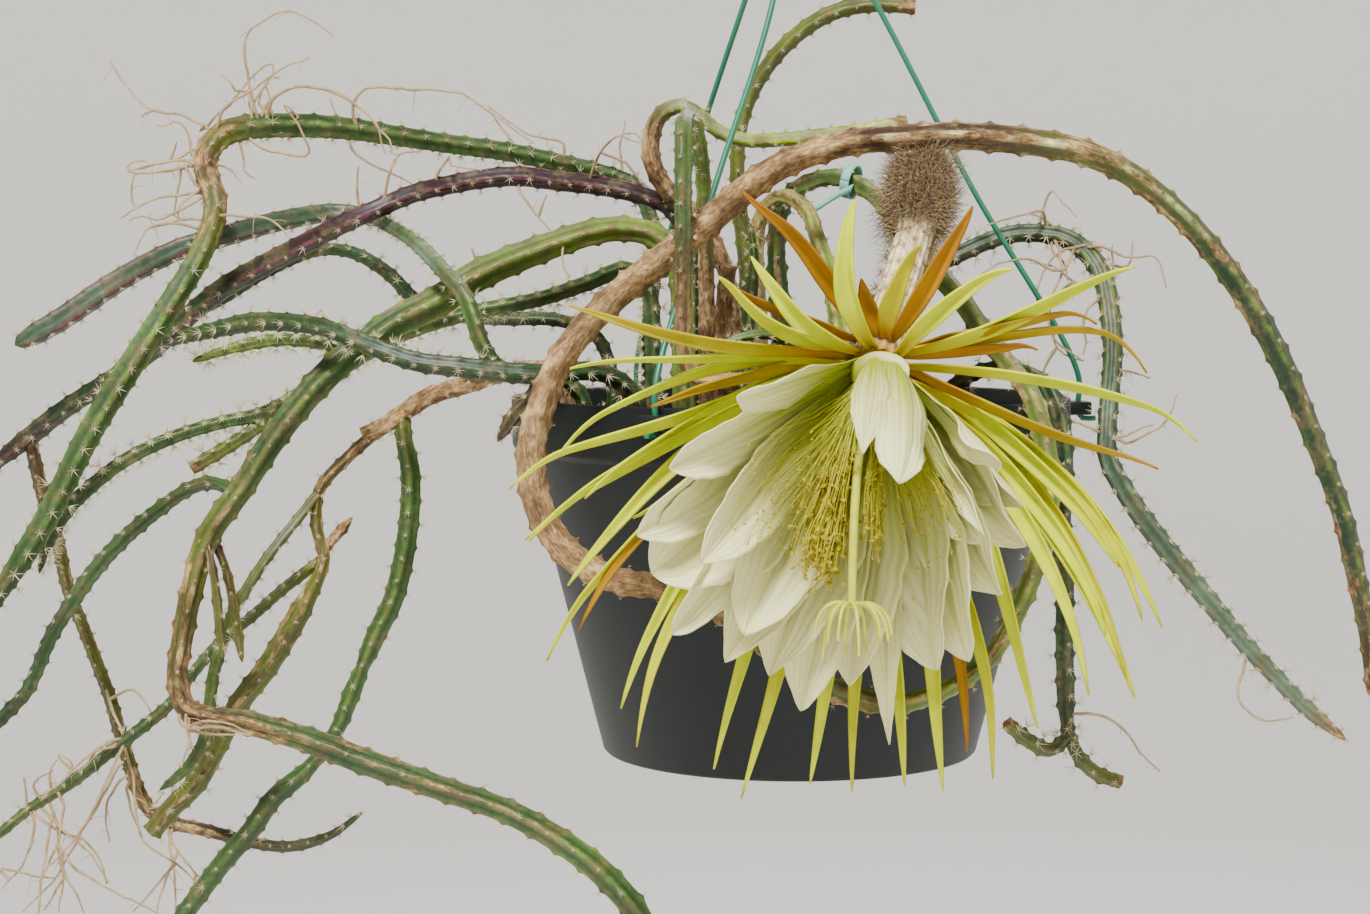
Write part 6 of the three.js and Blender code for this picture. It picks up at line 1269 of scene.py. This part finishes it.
class CACTUS_OT_tube(bpy.types.Operator):
    """Grow the floral tube with its bristly ovary"""

    bl_idname = "cactus.tube"
    bl_label = "Floral tube"

    def execute(self, context):
        route = TUBE_ROUTE + [tuple(THROAT - 8 * FACING), tuple(THROAT - 1.4 * FACING)]
        path, share, length = smooth_path(route, 0.5)
        # Areoles crowd on the ovary and stand far apart on the tube, so its rings do too.
        crowded, apart = np.arange(0, OVARY_LENGTH, 0.42), np.arange(OVARY_LENGTH, length, 1.7)
        rows = np.concatenate([crowded, apart, [length]])
        path = blended(rows, share * length, path)
        share = rows / length
        skin = [
            (0, "wine", "bark", 0), (0.2, "wine", "bark", 0), (0.27, "tube", "tube_rib", 0.3),
            (0.6, "tube", "tube_rib", 0.12), (0.88, "tube", "straw", 0),
            (1, "sepal_outer", "sepal_outer", 0),
        ]
        spines = [(0, 0.9), (0.05, 1), (0.24, 1.1), (0.3, 0.9), (0.36, 0.5), (0.7, 0.4), (1, 0.2)]
        strand = {
            "path": placed(path), "girth": along(TUBE_GIRTH, share) * MM,
            **skin_along(skin, share), "spine": along(spines, share),
        }
        # Bristles: stiff and matt, some nearly black and some tan.
        bristle = mottled("Dry bristle", ("bristle", 0.5), ("cork_light", 0.75), 0.7, 1.4)
        piece = grown("bloom_tube_grown", strands_mesh([strand]), bpy.data.node_groups["Ribbed stem"], {
            "Ribs": 15, "Furrow depth": 0.1, "Areole lift": 0.6 * MM, "Spine length": 15 * MM,
            "Spine radius": 0.017, "Spines on an areole": 13, "Uprightness": 0.05, "Seed": 31,
            "Skin": bpy.data.materials["Waxy cactus skin and cork"], "Spine material": bristle,
        })
        keep(piece, "bloom_tube")
        return {"FINISHED"}


class CACTUS_OT_sepals(bpy.types.Operator):
    """Spread the narrow outer tepals like rays"""

    bl_idname = "cactus.sepals"
    bl_label = "Outer tepals"

    def execute(self, context):
        random = np.random.default_rng(23)
        entries = []
        for right, up, bow, brown in SEPALS:
            span = math.hypot(right, up)
            lean = 0.12 + 0.3 * up / span
            width = 5.4 + 3.2 * abs(up) / span - 0.8 * brown
            aside = np.array([-up, 0, right]) / span
            entries.append((np.array([right, -span * lean, up]), bow * aside, width, brown))
        entries.sort(key=bloom_angle)
        t = np.linspace(0, 1, 30)[:, None]
        grids = []
        for i, (reach, bow, width, brown) in enumerate(entries):
            # They stand in three whorls, and the brown ones furthest out on the tube.
            out = bloom_side(reach)
            base = THROAT - FACING * (1.9 + 1.9 * (i % 3) + 4 * brown)
            tip = THROAT + reach
            length = np.linalg.norm(tip - base)
            sag = np.array([0, -0.05, 0.1 * random.random()]) * length
            first = base + out * 0.4 * length + FACING * 0.02 * length + bow
            second = base + 0.72 * (tip - base) + sag + 1.67 * bow
            line = bezier((base + out * TUBE_MOUTH, first, second, tip), 30)
            # It ripples, sways a little from side to side, and its tip hooks over.
            line += FACING * (2.5 * random.uniform(-1, 1) * np.sin(3 * t) ** 3)
            sway = 0.014 * length * random.uniform(-1, 1) * np.sin(2 * math.pi * t**1.2)
            line += np.cross(FACING, out) * sway
            hook = (0.05 + 0.05 * brown) * length * random.uniform(-0.5, 1)
            line += np.array([0, -0.3, -1]) * hook * np.clip((t - 0.82) / 0.18, 0, 1) ** 2
            curl = random.uniform(0.3, 0.75)
            grids.append(blade_grid(
                line, FACING,
                lambda t, width=width: width / 2 * along(SEPAL_OUTLINE, t),
                lambda t, u, curl=curl: curl * u**2 + 0.15 * np.sin(9 * t + 3 * u),
                random.uniform(-0.5, 0.6), 9,
            ))
        browns = [entry[3] for entry in entries]
        keep(blades_piece("bloom_sepals_grown", grids, browns, 0.9 * MM, sepal_tissue()), "bloom_sepals")
        return {"FINISHED"}


class CACTUS_OT_petals(bpy.types.Operator):
    """Open the white petals into a cup"""

    bl_idname = "cactus.petals"
    bl_label = "Petals"

    def execute(self, context):
        sizes = context.scene.cactus_sizes
        random = np.random.default_rng(12)
        entries = sorted(((np.array(petal[:3], float), *petal[3:]) for petal in PETALS), key=bloom_angle)
        steps = np.linspace(0, 1, 46)[:, None]
        grids = []
        for i, (reach, width, bow) in enumerate(entries):
            # They stand in two whorls, just inside the tube's mouth.
            out = bloom_side(reach)
            foot = THROAT + FACING * (0.5 + 1.6 * (i % 2)) + out * (TUBE_MOUTH - 1)
            tip = THROAT + reach
            length = np.linalg.norm(tip - foot)
            first = foot + out * 0.2 * length + FACING * 0.24 * length
            second = foot + 0.68 * (tip - foot) + FACING * 0.1 * length + out * (0.05 * length + bow)
            line = bezier((foot, first, second, tip), 46)
            line += FACING * random.uniform(-3, 3) * np.clip((steps - 0.75) / 0.25, 0, 1) ** 2
            phase, waves = random.uniform(0, 6.3), random.uniform(9, 15)
            cup = random.uniform(0.25, 0.5)
            wave = sizes.petal_wave * random.uniform(0.5, 1.2) * (1.7 if width < 29 else 1)
            pleats, folds = random.uniform(0.05, 0.12), random.uniform(4, 6.5)
            point, taper = random.uniform(0.85, 1.35), random.uniform(0, 0.75)
            crease, fold = random.uniform(-0.35, 0.35), random.uniform(0.1, 0.5)

            def half_width(t):
                ripple = 0.03 * np.sin(31 * t + phase) + 0.022 * np.sin(67 * t)
                ragged = 1 + ripple * np.clip(4 * t - 1, 0, 1)
                tapered = 1 - taper * np.clip(2 * t - 1, 0, 1)
                return width / 2 * along(PETAL_OUTLINE, t**point) * ragged * tapered

            def lift(t, u):
                ruffle = wave * np.abs(u) ** 2.5 * np.clip((t - 0.3) / 0.4, 0, 1)
                return (
                    cup * np.abs(u) ** 1.8 * (1 - 0.6 * t)
                    + ruffle * np.sin(waves * t + phase + 1.3 * np.sign(u))
                    - pleats * np.abs(np.cos(folds * u + 2 * phase + 1.2 * t)) * (1 - 0.5 * np.abs(u))
                    + fold * np.abs(u - crease * (1 - t)) * np.clip(2.2 * t - 0.7, 0, 1)
                    - 0.09 * np.exp(-((u / 0.12) ** 2)) * (1 - 0.5 * t)
                )

            inside = 0.5 * FACING - out
            grids.append(blade_grid(line, inside, half_width, lift, random.uniform(0.1, 0.45), 25))
        grids.append(blade_grid(
            smooth_path(THROAT + np.array(HOOD), 0.8)[0], np.array([0, 0.9, -0.5]),
            lambda t: (4.6 - 1.2 * t) * np.clip(4 * t + 0.5, 0, 1) * np.clip(5 * (1 - t), 0.05, 1) ** 0.6,
            lambda t, u: 0.35 * u**2 + 0.2 * np.sin(9 * t + 2 * u) * u**2,
            0.3, 17,
        ))
        browns = [0] * len(grids)
        piece = blades_piece("bloom_petals_grown", grids, browns, sizes.petal_thickness, petal_tissue())
        keep(piece, "bloom_petals")
        return {"FINISHED"}


def style_line():
    """The style's route, from inside the throat to the stigma."""
    return [tuple(THROAT - 0.9 * FACING)] + [tuple(THROAT + offset) for offset in STYLE_ROUTE]


class CACTUS_OT_stamens(bpy.types.Operator):
    """Draw the filaments out of the throat, each with its anther"""

    bl_idname = "cactus.stamens"
    bl_label = "Stamens"

    def execute(self, context):
        count = context.scene.cactus_sizes.stamens
        random = np.random.default_rng(41)
        style = smooth_path(style_line(), 2)[0]
        t = np.linspace(0, 1, 12)
        strands = []
        for part, near, far, scatter, radius in STAMEN_FANS:
            for _ in range(round(part * count)):
                place = random.random() ** 0.8
                middle = np.array(near) * (1 - place) + np.array(far) * place
                tip = THROAT + middle + random.normal(size=3) * scatter
                length = np.linalg.norm(tip - THROAT)
                out = bloom_side(tip - THROAT + random.normal(size=3) * 0.3 * length)
                foot = THROAT + FACING + out * random.uniform(*FILAMENT_RING)
                start = foot + FACING * random.uniform(0.3, 0.45) * length
                end = tip + np.array([0, 0, random.uniform(0.06, 0.2) * length]) + 0.06 * length * FACING
                line = bezier((foot, start, end, tip), 12)
                # The style hangs free in front of them.
                offset = line[:, None] - style[None]
                aside = np.linalg.norm(offset[..., [0, 2]], axis=2)
                if ((aside < BESIDE_STYLE) & (offset[..., 1] < BEHIND_STYLE)).any():
                    continue
                strands.append({"path": placed(line), "girth": np.full(12, radius * MM), "along": t})
        # Anthers are dusty with golden pollen.
        anther = mottled("Dusty anther", ("anther", 0.6), ("anther",), 0.9, 4)
        piece = grown("bloom_stamens_grown", strands_mesh(strands), bpy.data.node_groups["Threads"], {
            "Sides": 3, "Wander": 0.0016, "Wander size": 0.02, "Bead size": 3.5, "Seed": 3,
            "Material": filament_silk(), "Bead material": anther,
        })
        keep(piece, "bloom_stamens")
        return {"FINISHED"}


class CACTUS_OT_style(bpy.types.Operator):
    """Hang the style out of the throat, with its star of stigma lobes"""

    bl_idname = "cactus.style"
    bl_label = "Style and stigma"

    def execute(self, context):
        random = np.random.default_rng(5)
        path, share, _ = smooth_path(style_line(), 2)
        strands = [{"path": placed(path), "girth": (2.1 - 0.5 * share) * MM}]
        # Two directions square to its tip, carried along it without twist.
        across = np.array([0.0, -1.0, 0.0])
        for tangent in unit(np.gradient(path, axis=0)):
            across = unit(across - tangent * tangent.dot(across))
        aside = np.cross(tangent, across)
        t = np.linspace(0, 1, 12)[:, None]
        for angle in np.arange(STIGMA_LOBES) * 2 * math.pi / STIGMA_LOBES:
            out = across * math.cos(angle) + aside * math.sin(angle)
            spread, drop = random.uniform(11, 17), random.uniform(10, 20)
            lobe = path[-1] + out * spread * np.sin(1.5 * t) + (0, 0, 2.5) * np.sin(3.1 * t)
            lobe -= (0, 0, drop) * t**1.8
            strands.append({"path": placed(lobe), "girth": (1 - 0.45 * t[:, 0]) * MM})
        # The style is waxy and firm, like a fresh stalk.
        green = mottled("Waxy style", ("style", 0.8), ("style",), 0.45, 5)
        piece = grown("bloom_style_grown", strands_mesh(strands), bpy.data.node_groups["Threads"], {
            "Sides": 8, "Wander": 0.0, "Wander size": 0.02, "Seed": 1, "Material": green
        })
        keep(piece, "bloom_style")
        return {"FINISHED"}


def moulded_pot(material):
    """A thin round pot with a stepped rim band and a rolled lip, and three ears for the wires."""
    sides = 120
    # Radius and height: across the bottom, up the outside, over the lip and down the inside.
    profile = [
        (0, -159.6), (83, -159.6), (84.2, -158.4), (118.4, -25.6), (119.6, -24), (124, -22.4), (124.6, -21),
        (125, -2), (124.6, -0.4), (123.6, 0), (122.4, -0.6), (122.2, -2), (121.5, -19.6), (115.8, -24),
        (81.8, -156.6), (80.4, -157.2), (0, -157.2),
    ]
    shape = bmesh.new()
    rings = [[shape.verts.new(point) for point in placed(circle(*row, sides))] for row in profile]
    for low, high in zip(rings, rings[1:]):
        for k in range(sides):
            corners = [ring[i % len(ring)] for ring, i in ((low, k), (high, k), (high, k + 1), (low, k + 1))]
            shape.faces.new(list(dict.fromkeys(corners)))
    for degrees in EARS:
        turn = Matrix.Rotation(math.radians(degrees), 4, "Z")
        place = Matrix.Translation(placed((EAR_CIRCLE, 0, EAR_HEIGHT)))
        size = Matrix.Diagonal((*(side * MM for side in EAR_SIZE), 1))
        ear = bmesh.ops.create_cube(shape, size=1, matrix=turn @ place @ size)
        edges = {edge for corner in ear["verts"] for edge in corner.link_edges}
        bmesh.ops.bevel(shape, geom=list(edges), offset=1 * MM, segments=3, affect="EDGES", profile=0.5)
    bmesh.ops.recalc_face_normals(shape, faces=shape.faces)
    mesh = bpy.data.meshes.new("pot_moulded")
    shape.to_mesh(mesh)
    shape.free()
    mesh.materials.append(material)
    mesh.shade_smooth()
    mesh.set_sharp_from_angle(angle=math.radians(40))
    keep(added("pot_moulded", mesh), "pot")


class CACTUS_OT_pot(bpy.types.Operator):
    """Finish the pot, fill in the soil's crumbs, and hang the pot from its wires"""

    bl_idname = "cactus.pot"
    bl_label = "Pot, soil and hanger"

    def execute(self, context):
        # Moulded polypropylene: satin, with a fine grain.
        moulded_pot(mottled(
            "Moulded polypropylene", ("pot", 0.85), ("pot",), 0.5, 1.5,
            bump=0.00005, Specular_IOR_Level=0.25,
        ))
        # Potting soil: dark, matt and crumbly.
        earth = mottled("Potting soil", ("soil", 0.5), ("soil",), 1.0, 3, bump=0.001)
        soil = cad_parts["soil"]
        soil.data.materials.clear()
        soil.data.materials.append(earth)
        disc = bpy.data.meshes.new("soil_disc")
        edge = circle(108, -15, 24)
        fan = [(i, (i + 1) % 24, 24) for i in range(24)]
        disc.from_pydata(placed(edge + [(0, 0, -13)]).tolist(), [], fan)
        crumbs = grown("soil_crumbs", disc, crumb_tree(), {
            "Density": context.scene.cactus_sizes.crumbs, "Crumb radius": 2.2 * MM, "Material": earth
        })
        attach(crumbs, "root")
        wires = []
        for degrees, bends in EARS.items():
            # A wire runs in under its ear, with a little to spare, goes up, and at the neck winds round the
            # others.
            angle = math.radians(degrees)
            way = np.array([math.cos(angle), math.sin(angle)])
            low = EAR_HEIGHT - EAR_SIZE[2] / 2 - WIRE_RADIUS - 0.35
            ear, out = WIRE_CIRCLE * way, (WIRE_CIRCLE + 8) * way
            foot = [(*out, low), (*(0.75 * ear + 0.25 * out), low), (*ear, low + 3), (*ear, 9)]
            path = smooth_path([*foot, *bends, (*(2 * way), NECK[0])], 3)[0]
            height = np.linspace(*NECK, 24)
            twist = angle + (height - NECK[0]) * 0.33
            strand = np.stack([1.5 * np.cos(twist), 1.5 * np.sin(twist), height], axis=1)
            path = np.vstack([path, strand[1:]])
            wires.append({"path": placed(path), "girth": np.full(len(path), WIRE_RADIUS * MM)})
        hook = smooth_path([(x, 0, z) for x, z in HOOK_ROUTE], 2)[0]
        wires.append({"path": placed(hook), "girth": np.full(len(hook), 1.8 * MM)})
        # The wire's plastic coat is smooth and slightly glossy.
        coat = mottled("Plastic-coated wire", ("wire", 0.9), ("wire",), 0.35, 20)
        hanger = grown("hanger_wires", strands_mesh(wires), bpy.data.node_groups["Threads"], {
            "Sides": 10, "Wander": 0.0, "Wander size": 0.02, "Seed": 1, "Material": coat
        })
        keep(hanger, "hanger")
        return {"FINISHED"}


class CACTUS_OT_tie(bpy.types.Operator):
    """Wrap the soft tie round its stem"""

    bl_idname = "cactus.tie"
    bl_label = "Soft tie"

    def execute(self, context):
        axis = unit(np.array([16, -8, -4]))
        first = unit(np.cross(axis, (0, 0, 1)))
        second = np.cross(axis, first)
        turns = np.linspace(0, 2 * math.pi, 41)[:, None]
        loop = TIE_MIDDLE + TIE_RADIUS * (first * np.cos(turns) + second * np.sin(turns))
        points, faces = [], []
        for line, across in ((loop, axis), (smooth_path(TIE_END, 1.2)[0], np.array([0.3, 0.4, 0.85]))):
            faces += grid_faces(len(line), 3, len(points))
            points += [point + place * across for point in line for place in (-2, 0, 2)]
        # Woven cotton: matt, with a weave drawn a millimetre coarse so that it shows.
        cloth = mottled("Woven cotton tie", ("tie", 0.8), ("tie",), 0.85, 1, bump=0.0002)
        strap = smooth_piece("tie_strap", placed(points).tolist(), faces, cloth)
        thickened(strap, 0.8 * MM)
        keep(strap, "tie")
        return {"FINISHED"}


class CACTUS_OT_stage(bpy.types.Operator):
    """Set the floor, the soft lights and the camera"""

    bl_idname = "cactus.stage"
    bl_label = "Stage"

    def execute(self, context):
        scene = context.scene
        # A seamless pale bowl, in metres: flat under the plant, curving up into a wall all round.
        level, flat, bend, top, sides = -0.9, 2.0, 1.0, 1.8, 72
        quarter = np.linspace(0, math.pi / 2, 13)
        outline = [(flat + bend * math.sin(a), level + bend * (1 - math.cos(a))) for a in quarter]
        outline.append((flat + bend, top))
        points = [point for radius, height in outline for point in circle(radius, height, sides)]
        faces = [tuple(range(sides))]
        for start in range(0, len(points) - sides, sides):
            for k in range(sides):
                a, b = start + k, start + (k + 1) % sides
                faces.append((a, a + sides, b + sides, b))
        # Studio paper is matt.
        paper, _, shader = finish("Pale studio paper", 0.9)
        shader.inputs["Base Color"].default_value = (*linear("#f1efea"), 1)
        floor = smooth_piece("floor", points, faces, paper)
        world = bpy.data.worlds.new("Soft room")
        scene.world = world
        world.use_nodes = True
        sky = world.node_tree.nodes["Background"].inputs
        sky["Color"].default_value = (*linear("#e4e6ea"), 1)
        sky["Strength"].default_value = 0.46
        for label, place, power, width in (
            ("key", (-0.4, -1.3, 1.2), 88, 0.4),
            ("fill", (1.4, -1.3, 0.1), 8, 1.2),
            ("rim", (0.6, 1.4, 0.8), 14, 0.9),
        ):
            light = bpy.data.lights.new(label, "AREA")
            light.energy = power
            light.size = width
            lamp = added(label, light)
            lamp.location = place
            aim = np.array([0, 0, -0.3]) - place
            lamp.rotation_euler = (math.acos(-aim[2] / np.linalg.norm(aim)), 0, math.atan2(-aim[0], aim[1]))
        # The camera looks four degrees down on the middle of the plant, from 1.2 m away.
        tilt, distance = math.radians(4), 1.2
        camera = added("camera", bpy.data.cameras.new("camera"))
        away = np.array([0, -math.cos(tilt), math.sin(tilt)])
        camera.location = placed((-47.25, 0, -27.9)) + distance * away
        camera.rotation_euler = (math.pi / 2 - tilt, 0, 0)
        camera.data.sensor_width = 36
        camera.data.lens = 70.07
        scene.camera = camera
        return {"FINISHED"}


class CACTUS_PT_sidebar(bpy.types.Panel):
    """Builds the cactus piece by piece"""

    bl_label = "Queen of the Night Cactus"
    bl_space_type = "VIEW_3D"
    bl_region_type = "UI"
    bl_category = "Cactus"

    def draw(self, context):
        for group in (context.scene.cactus_sizes, context.scene.cactus_tones):
            for name in group.bl_rna.properties.keys():
                if name not in ("rna_type", "name"):
                    self.layout.prop(group, name)
        for operator in OPERATORS:
            self.layout.operator(operator.bl_idname)


OPERATORS = (
    CACTUS_OT_stems, CACTUS_OT_tube, CACTUS_OT_sepals, CACTUS_OT_petals, CACTUS_OT_stamens, CACTUS_OT_style,
    CACTUS_OT_pot, CACTUS_OT_tie, CACTUS_OT_stage,
)
CLASSES = (CactusTones, CactusSizes, *OPERATORS, CACTUS_PT_sidebar)


def register():
    for cls in CLASSES:
        bpy.utils.register_class(cls)
    bpy.types.Scene.cactus_tones = bpy.props.PointerProperty(type=CactusTones)
    bpy.types.Scene.cactus_sizes = bpy.props.PointerProperty(type=CactusSizes)


def unregister():
    del bpy.types.Scene.cactus_sizes
    del bpy.types.Scene.cactus_tones
    for cls in reversed(CLASSES):
        bpy.utils.unregister_class(cls)


def main():
    register()
    bpy.ops.cactus.stems()
    bpy.ops.cactus.tube()
    bpy.ops.cactus.sepals()
    bpy.ops.cactus.petals()
    bpy.ops.cactus.stamens()
    bpy.ops.cactus.style()
    bpy.ops.cactus.pot()
    bpy.ops.cactus.tie()
    bpy.ops.cactus.stage()


if __name__ == "__main__":
    main()
